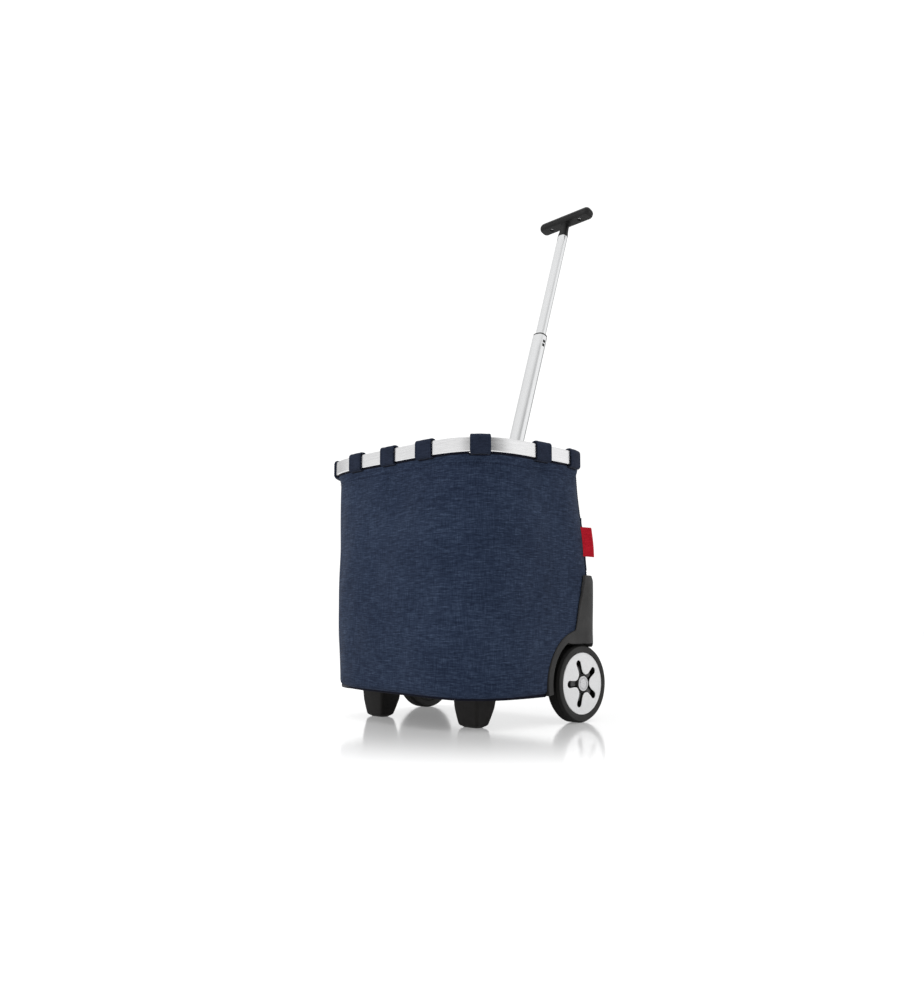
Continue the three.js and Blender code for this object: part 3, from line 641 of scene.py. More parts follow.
def build_bag():
    n = 640
    s = np.arange(n) / n
    top = hem_z(s)
    zz = np.concatenate([np.linspace(0, 0.05, 5)[:-1], np.linspace(0.05, 0.93, 64)[:-1], np.linspace(0.93, 1, 10)])
    rows = []
    b = 49.6 + low_z(s)
    for q in zz:                                     # outer face, bottom to top
        z = b + (top - b) * q
        inset = -4.6 * (1 - sstep(0, 8.0, z - b)) ** 1.6       # rolled lower edge
        # fabric gathers under each loop
        tuck = -0.9 * loop_weight(s, 0.004, 0.02) * sstep(0.90, 1.0, q)
        hem = 0.55 * sstep(0.962, 0.966, q)                    # turned hem is thicker
        rows.append(surf(s, z, inset + tuck + hem + lean(s, z)))
    for a in (30, 60, 90, 120, 150):                 # rolled top edge
        t = math.radians(a)
        r = (WALL + 0.55) / 2
        rows.append(surf(s, top + r * math.sin(t), 0.55 - r + r * math.cos(t) - 0.9 * loop_weight(s, 0.004, 0.02) + lean(s, top)))
    for q in zz[::-1]:                               # inner face, top to bottom
        z = b + (top - b) * q
        inset = -4.6 * (1 - sstep(0, 8.0, z - b)) ** 1.6
        tuck = -0.9 * loop_weight(s, 0.004, 0.02) * sstep(0.90, 1.0, q)
        rows.append(surf(s, z, inset + tuck - WALL + lean(s, z)))
    rows = np.array(rows)
    v, f = torus(rows)
    m = len(rows)
    fm = np.zeros((m, n), int)
    fm[len(zz) + 4:] = 1
    # the top of the outer face and the rolled top edge take the dark binding material, a dark strip right under the
    # band
    fm[len(zz) - 2:len(zz) + 5] = 2
    ob = make("bag_body", v, f, [M_FABRIC, M_LINING, M_BIND], face_mat=fm.ravel(), angle=60)
    return ob


def well_profile(r):
    return np.vstack([arc_pts(104, 65, r, 200, 47.5, 60), [[240, 131.6], [240, -20], [104 - r, -20]]])


bag = build_bag()
for side in (-1, 1):
    c = prism_x("cut_tmp", well_profile(90.5), 167.6, 260, M_LINING, side)
    cut(bag, c)

# pole frame
LEAN = math.radians(18.2)
POLE0 = np.array([0.0, 243.0, 747.0])
PU = np.array([0, math.sin(LEAN), math.cos(LEAN)])
PV = np.array([0, math.cos(LEAN), -math.sin(LEAN)])
PX = np.array([1.0, 0, 0])


def pole(p):
    p = np.asarray(p, float)
    return POLE0 + p[..., 0:1] * PX + p[..., 1:2] * PV + p[..., 2:3] * PU


def oval(w, d, n=96, e=2.6):
    t = np.linspace(0, 2 * np.pi, n, endpoint=False)
    c, s = np.cos(t), np.sin(t)
    return np.column_stack([(w / 2) * np.sign(c) * np.abs(c) ** (2 / e), (d / 2) * np.sign(s) * np.abs(s) ** (2 / e)])


def rrect(hx, hy, r, seg=8):
    out = []
    for cx, cy, t0 in ((hx - r, hy - r, 0), (-hx + r, hy - r, 90), (-hx + r, -hy + r, 180), (hx - r, -hy + r, 270)):
        for k in range(seg + 1):
            t = math.radians(t0 + 90 * k / seg)
            out.append((cx + r * math.cos(t), cy + r * math.sin(t)))
    return np.array(out)


def stack(sections, to=pole):
    """sections: list of (points2, height)"""
    rings = [np.column_stack([p, np.full(len(p), h)]) for p, h in sections]
    v, f = loft([to(r) for r in rings])
    return v, f


v, f = stack([(rrect(24.3, 20.0, 7), -336.8), (rrect(24.3, 20.0, 7), -200)])
cut(bag, make("cut_tmp", v, f, M_LINING, smooth=False))
shade(bag, 60)
piece(bag, "frame", "fabric", "bag_wrap_panel", "bag_rear_panel")


def ribbon(name, s_path, z_path, width, thick, mat, lift=0.15, along="z", n_w=9):
    """Flat tape lying on the bag's surface, running along a path of (s, z)."""
    s_path, z_path = np.asarray(s_path, float), np.asarray(z_path, float)
    perim = RIM_LEN * 0.955
    prof = []
    for k in range(n_w):                     # outer side, edges rounded
        w = (k / (n_w - 1) - 0.5)
        prof.append((w * width, lift + thick * (1 - 0.55 * abs(2 * w) ** 6)))
    for k in range(n_w)[::-1]:
        w = (k / (n_w - 1) - 0.5)
        prof.append((w * width, lift - 0.6))
    rings = []
    for sp, zp in zip(s_path, z_path):
        ring = []
        for w, d in prof:
            if along == "z":
                ring.append(surf(sp + w / perim, zp, d))
            else:
                ring.append(surf(sp, zp + w, d))
        rings.append(ring)
    v, f = loft(np.array(rings).reshape(len(rings), len(prof), 3))
    return make(name, v, f, mat, angle=50)


def stitches(name, pts, nrm, mat, length=3.0, radius=0.36, pitch=4.4):
    """A row of small thread stitches laid along a polyline."""
    pts = np.asarray(pts, float)
    nrm = np.asarray(nrm, float)
    d = np.concatenate([[0], np.cumsum(np.linalg.norm(np.diff(pts, axis=0), axis=1))])
    V, F, base = [], [], 0
    k = 0
    pos = pitch / 2
    while pos < d[-1] - pitch / 2:
        q = np.array([pos - length / 2, pos, pos + length / 2])
        p = np.column_stack([np.interp(q, d, pts[:, a]) for a in range(3)])
        n = np.array([np.interp(pos, d, nrm[:, a]) for a in range(3)])
        n /= np.linalg.norm(n)
        t = p[2] - p[0]
        t /= np.linalg.norm(t)
        b = np.cross(n, t)
        prof = [(-0.5, 0.25, -0.25), (-0.36, 0.8, 0.25), (0.0, 1.0, 0.45), (0.36, 0.8, 0.25), (0.5, 0.25, -0.25)]
        for a, r, h in prof:
            c = p[1] + t * a * length + n * h * radius
            for g in range(6):
                w = math.pi / 3 * g
                V.append(c + (b * math.cos(w) + n * math.sin(w)) * r * radius)
        F += grid_faces(5, 6, close_n=True, base=base).tolist()
        F.append([base + g for g in range(6)][::-1])
        F.append([base + 24 + g for g in range(6)])
        base += 30
        pos += pitch
        k += 1
    return make(name, V, F, mat, angle=60)


# hem stitching round the top edge
sh = np.linspace(0.028, 0.972, 900)
hz = 430.5 + 0 * sh


def surf_normal(s, z):
    a, b = surf(s + 0.001, z), surf(s - 0.001, z)
    c, d = surf(s, z + 1.5), surf(s, z - 1.5)
    n = np.cross(a - b, c - d)
    n /= np.linalg.norm(n, axis=-1, keepdims=True)
    out = surf(s, z, 1.0) - surf(s, z, 0.0)
    return n * np.sign((n * out).sum(-1, keepdims=True))


st = stitches("hem_stitching", surf(sh, hz - 11.5, 0.35), surf_normal(sh, hz - 11.5), M_THREAD)
piece(st, "frame", "fabric")

# taped seams between the wrap and the rear panel, down to the brackets
S_SEAM = {}
for side, nm in ((-1, "left"), (1, "right")):
    zpath = np.linspace(244, 429, 60)
    ref = [s_near(side * 188, 128, z) for z in zpath]
    sp = np.interp(zpath, zpath, np.convolve(np.pad(ref, 6, mode="edge"), np.ones(13) / 13, mode="valid"))
    S_SEAM[nm] = (zpath, sp)
    tape = ribbon(f"seam_tape_{nm}", sp, zpath, 7.0, 0.9, M_BIND)
    piece(tape, "frame", "fabric")
    off = 2.3 / (RIM_LEN * 0.955)
    for q, tag in ((-1, "a"), (1, "b")):
        row = stitches(f"seam_stitch_{nm}_{tag}", surf(sp + q * off, zpath, 1.05), surf_normal(sp, zpath), M_THREAD, 2.6, 0.32, 3.8)
        piece(row, "frame", "fabric")


# rear slip pocket: a slack panel with a bound top edge
def build_pocket():
    s0, s1 = S_SEAM["right"][1][30], S_SEAM["left"][1][30]
    # the rear side runs through s = 0, so work from the right (s near 1) across 0 to the left
    a = s0 - 1.0 if s0 > 0.5 else s0
    b = s1 if s1 < 0.5 else s1 - 1.0
    a, b = min(a, b), max(a, b)
    mg = 5.2 / (RIM_LEN * 0.955)
    a, b = a + mg, b - mg
    ns, nz = 150, 70
    S = np.linspace(a, b, ns)
    u = np.linspace(0, 1, ns)
    rows_o, rows_i = [], []
    for k in range(nz):
        q = k / (nz - 1)
        z = 98 + (349 - 98) * q
        side_in = 1 - sstep(249, 258, z)       # between the brackets lower down
        cut_in = side_in * 0.117
        uu = cut_in + (1 - 2 * cut_in) * u
        ss = a + (b - a) * uu
        slack = 3.6 * np.sin(np.pi * u) ** 0.8 * sstep(0.45, 1.0, q) + 1.3 * np.sin(np.pi * u) * np.sin(np.pi * q)
        ripple = 0.5 * np.sin(9 * u * np.pi + 2.0 * q) * sstep(0.3, 0.9, q) * np.sin(np.pi * u)
        rows_o.append(surf(ss, z - 3.0 * np.sin(np.pi * u) * sstep(0.7, 1, q), 2.0 + slack + ripple))
        rows_i.append(surf(ss, z - 3.0 * np.sin(np.pi * u) * sstep(0.7, 1, q), 0.5 + slack * 0.92 + ripple))
    O, I = np.array(rows_o), np.array(rows_i)
    m, n = O.shape[:2]
    verts = np.vstack([O.reshape(-1, 3), I.reshape(-1, 3)])
    faces = grid_faces(m, n).tolist() + grid_faces(m, n, base=m * n, flip=True).tolist()
    border = [(0, j) for j in range(n)] + [(i, n - 1) for i in range(1, m)] + [(m - 1, j) for j in range(n - 2, -1, -1)] + [(i, 0) for i in range(m - 2, 0, -1)]
    for k in range(len(border)):
        (i0, j0), (i1, j1) = border[k], border[(k + 1) % len(border)]
        p, q = i0 * n + j0, i1 * n + j1
        faces.append([p, q, q + m * n, p + m * n])
    ob = make("rear_pocket_panel", verts, faces, M_FABRIC, angle=50)
    # bound top edge
    top = O[-1]
    prev = O[-2]
    rings = []
    for k in range(0, n, 1):
        t = top[min(k + 1, n - 1)] - top[max(k - 1, 0)]
        t /= np.linalg.norm(t)
        up = np.array([0, 0, 1.0])
        out = np.cross(up, t)
        out /= np.linalg.norm(out)
        if out @ (O[-1, k] - I[-1, k]) < 0:
            out = -out
        c = (top[k] + I[-1, k]) / 2
        prof = round_profile([(-1.7, -9), (1.7, -9), (1.7, 1.2), (-1.7, 1.2)], [0.3, 0.3, 1.2, 1.2], 3)
        rings.append([c + out * x + up * y for x, y in prof])
    v, f = loft(np.array(rings))
    edge = make("rear_pocket_binding", v, f, M_BIND, angle=50)
    pts = O[-1].copy()
    outn = surf_normal(a + (b - a) * u, 346.0 + 0 * u)
    row = stitches("rear_pocket_stitching", pts + outn * 0.75 + np.array([0, 0, -6.5]), outn, M_THREAD)
    return ob, edge, row


pocket, pocket_edge, pocket_row = build_pocket()
piece(pocket, "frame", "fabric", "rear_pocket")
piece(pocket_edge, "frame", "fabric")
piece(pocket_row, "frame", "fabric")


# red seam tag: a folded tape caught in the rear right seam, plain
def build_tag():
    zp, sp = S_SEAM["right"]
    z0, z1 = 281.0, 332.5
    rows = []
    nz, nw = 30, 14
    for k in range(nz):
        q = k / (nz - 1)
        z = z0 + (z1 - z0) * q
        s = np.interp(z, zp, sp)
        base = surf(s - 0.010, z, 0.4)[:2]
        d = np.array([math.sqrt(0.5), math.sqrt(0.5)])
        t = np.array([-d[1], d[0]])
        ring = []
        for side in (1, -1):
            for j in range(nw) if side == 1 else range(nw)[::-1]:
                w = j / (nw - 1)
                out = 0.4 + 18.9 * w
                th = 0.55 * math.sqrt(max(0.0, 1 - max(0.0, (w - 0.93) / 0.07) ** 2)) + 0.02
                wave = 0.9 * math.sin(w * 2.6 + 0.5) * (0.4 + 0.6 * w) + 0.5 * math.sin(q * 3.0 + w)
                xy = base + d * out + t * (side * th + wave)
                drop = -1.6 * w
                ring.append((xy[0], xy[1], z + drop))
        rows.append(ring)
    v, f = loft(np.array(rows))
    return make("seam_tag_cloth", v, f, M_RED, angle=50)


tag = build_tag()
piece(tag, "frame", "tag_fabric", "seam_tag")


# fabric base and rolled lower welt
def build_base():
    n = 360
    s = np.arange(n) / n
    rows = []
    lift = low_z(s, True)
    for z, d, k in ((53.8, -12, 1), (53.8, -6.2, 1), (51.5, -3.8, 1), (49.2, -3.3, 1), (47.6, -4.4, 1), (47.0, -7.0, 1), (47.2, -14, 1), (48.8, -18, 0.8), (48.8, -60, 0)):
        row = surf(s, np.full(n, 50.0), d)
        row[:, 2] = z + lift * k
        rows.append(row)
    rows = np.array(rows)
    v, f = loft(rows)
    return make("bag_base", v, f, M_BIND, angle=50)


base = build_base()
for side in (-1, 1):
    cut(base, prism_x("cut_tmp", well_profile(90.5), 167.6, 260, M_BIND, side))
for side in (-1, 1):
    v, f = loft([np.column_stack([rrect(28.4, 23.4, 9) + [side * 118, -66], np.full(36, h)]) for h in (30, 49.5)])
    cut(base, make("cut_tmp", v, f, M_BIND, smooth=False))
shade(base, 50)
piece(base, "frame", "fabric", "bag_base_panel")


# ------------------------------------------------------------------- rim band
def build_band():
    prof = round_profile([(0, 436), (0, 460), (-8.5, 460), (-8.5, 436)], [2.0, 2.0, 2.0, 2.0], 5)
    n = 520
    L = np.linspace(24.4, RIM_LEN - 24.4, n)
    P = np.empty((n, len(prof), 3))
    for k, (d, z) in enumerate(prof):
        P[:, k, :2] = rim(L, np.full(n, d))
        P[:, k, 2] = z
    v, f = loft(P)
    return make("rim_band_profile", v, f, M_BAND, angle=35)


band = build_band()
piece(band, "frame", "aluminium", "rim_band")


# --------------------------------------------------------------------- loops
def build_loop(name, x, y, seed):
    """Webbing strap wrapped once round the band, with turned edges and a slack top."""
    L0 = rim_near(x, y)
    W, T = {"loop_front_corner_right": 32.6, "loop_front_left": 33.0, "loop_front_middle": 33.6}.get(name, 35.0), 2.6
    # path of the strap's inner face round the band: (d, z), anticlockwise
    g, top = 0.35, 1.9 + 0.5 * math.sin(seed * 1.7)
    path = round_profile([(g, 434.8), (g, 460 + top), (-8.5 - g, 460 + top * 0.8), (-8.5 - g, 434.8)], [2.6, 3.2, 3.2, 2.6], 6)
    # resample the path evenly
    cl = np.vstack([path, path[:1]])
    dl = np.concatenate([[0], np.cumsum(np.linalg.norm(np.diff(cl, axis=0), axis=1))])
    K = 84
    want = np.linspace(0, dl[-1], K, endpoint=False)
    pc = np.column_stack([np.interp(want, dl, cl[:, 0]), np.interp(want, dl, cl[:, 1])])
    tn = np.roll(pc, -1, 0) - np.roll(pc, 1, 0)
    tn /= np.linalg.norm(tn, axis=1)[:, None]
    nr = np.column_stack([tn[:, 1], -tn[:, 0]])
    if (nr[0] @ (pc[0] - pc.mean(0))) < 0:
        nr = -nr
    sec = []
    nw = 22
    wk = np.sin(np.linspace(-1, 1, nw) * math.pi / 2 * 0.985)
    wk /= wk[-1]
    for k in range(nw):                      # outer face with thicker turned edges
        w = wk[k]
        e = abs(w)
        t = T * (1 + 0.14 * sstep(0.70, 0.80, e))
        sec.append((w * W / 2, t * (0.86 if e == 1 else 1.0)))
    for k in range(nw)[::-1]:
        w = wk[k]
        sec.append((w * W / 2 * 0.995, 0.0 if abs(w) < 1 else 0.14 * T))
    P = np.empty((K, len(sec), 3))
    for j, (w, t) in enumerate(sec):
        wob = 0.35 * np.sin(w / 9.0 + seed + want / 9.0) * (np.arange(K) > -1)
        lift = 0.6 * np.cos(w / (W / 2) * 1.5) * np.clip(nr[:, 1], 0, 1)
        d = pc[:, 0] + nr[:, 0] * (t + 0.12 * wob)
        z = pc[:, 1] + nr[:, 1] * (t + 0.3 * wob * np.clip(nr[:, 1], 0, 1)) + lift
        # straps narrow a touch where they turn over the edges
        P[:, j, :2] = rim(np.full(K, L0 + w * (1 - 0.012 * np.abs(nr[:, 1]))), d)
        P[:, j, 2] = z
    v, f = torus(P)
    ob = make(name + "_strap", v, f, M_WEB, angle=50)
    rows = []
    for q in (-1, 1):
        idx = [k for k in range(K) if nr[k, 0] > 0.9]
        order = sorted(idx, key=lambda k: pc[k, 1])
        pts, nn = [], []
        for k in order:
            p2 = rim(np.array([L0 + q * (W / 2 - 3.6)]), np.array([pc[k, 0] + T * 1.16 + 0.1]))[0]
            nvec = rim(np.array([L0 + q * (W / 2 - 3.6)]), np.array([10.0]))[0] - rim(np.array([L0 + q * (W / 2 - 3.6)]), np.array([0.0]))[0]
            nvec /= np.linalg.norm(nvec)
            pts.append((p2[0], p2[1], pc[k, 1]))
            nn.append((nvec[0], nvec[1], 0.0))
        rows.append(stitches(f"{name}_thread_{'b' if q > 0 else 'a'}", pts, nn, M_THREAD, 2.3, 0.28, 3.3))
    return ob, rows


for i, (nm, (x, y)) in enumerate(LOOP_AT.items()):
    ob, rows = build_loop(nm, x, y, i + 0.37)
    piece(ob, "frame", "webbing", nm)
    th = join(nm + "_stitching", rows)
    shade(th, 60)
    piece(th, "frame", "webbing")


# ------------------------------------------------- CAD copies with soft edges
def refined(node, name, mat, width, body, slot, seg=3, angle=30.0, shade_angle=45.0):
    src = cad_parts[node]
    me = src.data.copy()
    me.transform(src.matrix_world)
    me.materials.clear()
    me.materials.append(mat)
    ob = bpy.data.objects.new(name, me)
    SCENE.collection.objects.link(ob)
    bm = bmesh.new()
    bm.from_mesh(me)
    bmesh.ops.remove_doubles(bm, verts=bm.verts, dist=1e-6)
    bmesh.ops.dissolve_limit(bm, angle_limit=math.radians(1.0), verts=bm.verts, edges=bm.edges)
    bmesh.ops.recalc_face_normals(bm, faces=bm.faces)
    bm.to_mesh(me)
    bm.free()
    soften(ob, width, seg, angle)
    shade(ob, shade_angle)
    piece(ob, body, slot, node)
    return ob


refined("base_board", "floor_board_panel", M_BOARD, 1.2, "frame", "board")


# ------------------------------------------------------- handle: tubes and co
def tube(name, w, d, wall, s0, s1, mat, n=112, lip=0.5, lip_in=0.4):
    """Oval tube with chamfered, rounded rims."""
    prof = round_profile([(0, s0), (0, s1), (-wall, s1), (-wall, s0)], [lip, lip, lip_in, lip_in], 3)
    # extra rings so that long faces stay even
    pts = []
    for a, b in zip(prof, np.roll(prof, -1, 0)):
        pts.append(a)
        if abs(b[1] - a[1]) > 30:
            for q in np.linspace(0, 1, 14)[1:-1]:
                pts.append(a + (b - a) * q)
    rings = []
    for off, h in pts:
        o = oval(w + 2 * off, d + 2 * off, n)
        rings.append(pole(np.column_stack([o, np.full(n, h)])))
    v, f = torus(rings)
    return make(name, v, f, mat, angle=40)


sleeve = tube("guide_sleeve", 33, 29, 1.6, -688, -292.3, M_TUBE)
piece(sleeve, "frame", "aluminium", "pole_sleeve")
lower = tube("lower_handle_tube", 29, 25, 1.5, -394, 0, M_TUBE)
for h in (-13.5, -22.0):
    v, f = stack([(rrect(3.0, 3.1, 0.9, 5), -3.2), (rrect(3.0, 3.1, 0.9, 5), 3.2)], to=lambda p, h=h: pole(np.column_stack([14.0 + p[:, 0], p[:, 2], h + p[:, 1]])))
    cut(lower, make("cut_tmp", v, f, M_TUBE, smooth=False))
shade(lower, 40)
piece(lower, "handle_lower", "aluminium", "lower_tube")
upper = tube("upper_handle_tube", 21.5, 17, 1.3, -70, 252, M_TUBE)
piece(upper, "handle_upper", "aluminium", "upper_tube")


def build_bushing():
    prof = round_profile([(25.4, -34), (25.4, 0.35), (28.5, 0.35), (28.2, 3.0), (22.3, 3.0), (22.3, -34)], [0.3, 0, 0.3, 0.9, 0.8, 0.3], 4)
    rings = []
    for w, h in prof:
        o = oval(w, w - 4.0 if w > 23 else w - 4.45, 96)
        rings.append(pole(np.column_stack([o, np.full(96, h)])))
    v, f = torus(rings)
    parts = [make("b0", v, f, M_BLACK, angle=40)]
    for h in (-13.5, -22.0):
        sec = [(rrect(2.65, 2.55, 0.8, 5), 11.8), (rrect(2.65, 2.55, 0.8, 5), 13.6), (rrect(2.2, 2.1, 0.7, 5), 13.95)]
        v, f = stack(sec, to=lambda p, h=h: pole(np.column_stack([p[:, 2], p[:, 0], h + p[:, 1]])))
        parts.append(make("b1", v, f, M_BLACK, angle=30))
    ob = join("handle_bushing", parts)
    shade(ob, 40)
    return ob


piece(build_bushing(), "handle_lower", "black_plastic", "tube_bushing")


# rear bridge moulding with a flared collar round the handle
def build_bridge():
    v, f = stack([(rrect(22.6, 18.2, 6.5), -336), (rrect(23.6, 19.25, 7), -334.5), (rrect(23.6, 19.25, 7), -287), (rrect(22.4, 18.2, 7), -282.5), (rrect(19.6, 16.4, 7), -279.6), (rrect(18.6, 15.6, 7), -279)])
    body = make("bridge_tmp", v, f, M_BLACK, smooth=False)
    plug = make("plug_tmp", *loft([np.column_stack([rrect(46, 2.55, 0.6, 2) + [0, 154.75], np.full(12, h)]) for h in (437.9, 458.1)]), M_BLACK, smooth=False)
    # side cheeks that lap over the band's ends
    cheeks = []
    for sd in (-1, 1):
        sec = round_profile([(146.6, 433.6), (161.2, 433.6), (161.2, 462.4), (146.6, 462.4)], 2.4, 5)
        a = np.column_stack([np.full(len(sec), sd * 20.0), sec])
        b = np.column_stack([np.full(len(sec), sd * 31.0), sec])
        sec2 = (sec - sec.mean(0)) * [0.94, 0.97] + sec.mean(0)
        c = np.column_stack([np.full(len(sec), sd * 32.2), sec2])
        cheeks.append(make("cheek_tmp", *loft([a, b, c]), M_BLACK, smooth=False))
    ob = join("bridge_tmp2", [body, *cheeks])
    melt(ob, 0.8, 3, 0.5, 0.35)
    v, f = stack([(oval(33.5, 29.5), -380), (oval(33.5, 29.5), -292)])
    cut(ob, make("cut_tmp", v, f, M_BLACK, smooth=False))
    v, f = stack([(oval(29.8, 25.8), -330), (oval(29.8, 25.8), -283), (oval(31.6, 27.6), -278.5), (oval(32, 28), -260)])
    cut(ob, make("cut_tmp", v, f, M_BLACK, smooth=False))
    # band channel through the cheeks
    L = np.concatenate([np.linspace(-60, 60, 41)])
    prof = [(0.25, 435.8), (0.25, 460.2), (-8.75, 460.2), (-8.75, 435.8)]
    for sd in (-1, 1):
        LL = np.linspace(23.9, 60, 16) * -sd
        P = np.empty((len(LL), 4, 3))
        for k, (d, z) in enumerate(prof):
            P[:, k, :2] = rim(LL, np.full(len(LL), d))
            P[:, k, 2] = z
        cut(ob, make("cut_tmp", *loft(P), M_BLACK, smooth=False))
    bpy.data.objects.remove(plug)
    ob.name = "rear_bridge_moulding"
    shade(ob, 40)
    return ob


piece(build_bridge(), "frame", "black_plastic", "rim_bridge")


# grip: tapered neck flaring into a rounded bar, in two shells
def capsule(hx, hy, n=64):
    p = rrect(hx, hy, min(7.5, hy * 0.72), 12)
    d = np.concatenate([[0], np.cumsum(np.linalg.norm(np.diff(np.vstack([p, p[:1]]), axis=0), axis=1))])
    q = np.vstack([p, p[:1]])
    w = np.linspace(0, d[-1], n, endpoint=False)
    return np.column_stack([np.interp(w, d, q[:, 0]), np.interp(w, d, q[:, 1])])


def grip_half(z_flat, z_end, sign):
    gs = 293.7
    rows = []
    for q in np.linspace(0, 1, 15):
        a = q * math.pi / 2
        h = abs(z_end - z_flat)
        inset = 4.4 * (1 - max(0.0, math.cos(a)) ** 0.9)
        rows.append((capsule(66.5 - inset, 12.8 - inset, 128), z_flat + sign * h * math.sin(a)))
    return rows


gs = 293.7
low = make("grip_low_tmp", *stack(grip_half(gs - 0.2, gs - 9, -1)), M_BLACK, smooth=False)
neck = make("neck_tmp", *stack([(oval(21.2, 16.9, 96), 252.2), (oval(21.6, 17.2, 96), 252.8), (oval(21.4, 17.1, 96), 255), (oval(19.8, 16.4, 96), 260), (oval(18.2, 15.7, 96), 266), (oval(17.0, 15.3, 96), 273),
                               (oval(16.9, 15.4, 96), 280), (oval(18.6, 16.4, 96), 284), (oval(22, 18, 96), 286.6), (oval(24, 19, 96), 289.5)]), M_BLACK, smooth=False)
spigot = make("spig_tmp", *stack([(oval(18.2, 13.8, 64), 224), (oval(18.2, 13.8, 64), 254)]), M_BLACK, smooth=False)
gl = join("grip_lower_shell", [low, neck, spigot])
melt(gl, 0.62, 2, 0.5, 0.4)
for q in (-1, 1):
    v, f = stack([(oval(8.6, 8.6, 48, 2.0), gs - 14), (oval(8.6, 8.6, 48, 2.0), gs - 5.4)], to=lambda p, q=q: pole(p + np.array([q * 38.0, 0, 0])))
    cut(gl, make("cut_tmp", v, f, M_BLACK, smooth=False))
shade(gl, 40)
piece(gl, "handle_upper", "black_plastic", "grip_lower")
gu = make("grip_upper_shell", *stack(grip_half(gs + 0.2, gs + 9, 1)), M_BLACK, angle=50)
v, f = stack([(oval(34.9, 14.9, 96, 2.4), gs + 3), (oval(34.9, 14.9, 96, 2.4), gs + 8.2), (oval(36.6, 16.6, 96, 2.4), gs + 9.3), (oval(36.6, 16.6, 96, 2.4), gs + 14)])
cut(gu, make("cut_tmp", v, f, M_BLACK, smooth=False))
shade(gu, 40)
piece(gu, "handle_upper", "black_plastic", "grip_upper")
rows = [(oval(33.6, 13.6, 96, 2.4), gs + 5.9), (oval(34.2, 14.2, 96, 2.4), gs + 6.3), (oval(34.2, 14.2, 96, 2.4), gs + 9.3)]
for q in np.linspace(0.1, 1, 8):
    k = 1 - q
    rows.append((oval(34.2 - 26 * q ** 3, 14.2 - 11 * q ** 3, 96, 2.4), gs + 9.3 + 1.35 * math.sin(q * math.pi / 2)))
btn = make("grip_button", *stack(rows), M_BRACKET, angle=50)
piece(btn, "release", "black_plastic", "release_button")


def screw_piece(name, node, body, origin, axis, shaft, head_r, length, head, recess=True):
    """Pan-head screw with a cross recess; axis points from the tip to the head."""
    axis = np.asarray(axis, float) / np.linalg.norm(axis)
    ref = np.array([1.0, 0, 0]) if abs(axis[0]) < 0.9 else np.array([0, 1.0, 0])
    ex = np.cross(ref, axis)
    ex /= np.linalg.norm(ex)
    ey = np.cross(axis, ex)
    n = 40
    prof = [(0.0, 0), (shaft * 0.55, 0.0), (shaft, shaft * 0.8)]
    z = shaft * 0.8
    while z < length - 2.0:                       # thread ridges
        prof += [(shaft * 0.86, z + 0.25), (shaft, z + 0.6), (shaft * 0.86, z + 0.95)]
        z += 1.1
    prof += [(shaft * 0.86, length - 0.4), (shaft * 0.86, length), (head_r * 0.93, length), (head_r, length + head * 0.18), (head_r, length + head * 0.4)]
    for q in np.linspace(0.2, 1, 6):
        prof.append((head_r * math.cos(q * math.pi / 2) ** 0.7, length + head * (0.4 + 0.6 * math.sin(q * math.pi / 2))))
    t = np.linspace(0, 2 * np.pi, n, endpoint=False)
    P = np.empty((len(prof), n, 3))
    for k, (r, h) in enumerate(prof):
        r = max(r, 0.02)
        P[k] = origin + axis * h + (np.cos(t)[:, None] * ex + np.sin(t)[:, None] * ey) * r
    ob = make(name, *loft(P), M_STEEL, angle=35)
    if recess:
        for a, b in ((ex, ey), (ey, ex)):
            w, l = head_r * 0.17, head_r * 0.62
            top = length + head + 1.0
            bot = length + head * 0.35
            c = []
            for h, k in ((bot, 0.6), (top, 1.0)):
                c.append([origin + axis * h + a * sx * l * k + b * sy * w * k for sx, sy in ((1, 1), (-1, 1), (-1, -1), (1, -1))])
            cut(ob, make("cut_tmp", *loft(np.array(c)), M_STEEL, smooth=False))
        shade(ob, 35)
    piece(ob, body, "steel", node)
    return ob


for q, nm in ((-1, "left"), (1, "right")):
    screw_piece(f"grip_screw_{nm}_m", f"grip_screw_{nm}", "handle_upper", pole(np.array([q * 38.0, 0, gs + 5.0])), -PU, 2.0, 3.9, 10, 2.0)
    for ab, dx in (("a", -13), ("b", 13)):
        screw_piece(f"foot_screw_{nm}_{ab}_m", f"foot_screw_{nm}_{ab}", "frame", np.array([q * 118.0 + dx, -66.0, 30.0]), (0, 0, 1), 2.2, 5.0, 28.3, 3.0)
    screw_piece(f"bracket_screw_{nm}_m", f"bracket_screw_{nm}", "frame", np.array([q * 176.0, 158.0, 200.0]), (0, -1, 0), 2.2, 5.0, 19, 3.0)
    sf = POLE0 + PU * -688
    screw_piece(f"socket_screw_{nm}_m", f"socket_screw_{nm}", "frame", np.array([q * 25.5, sf[1] - 27, 53.3]), (0, 0, 1), 2.2, 4.2, 10.0, 2.6)


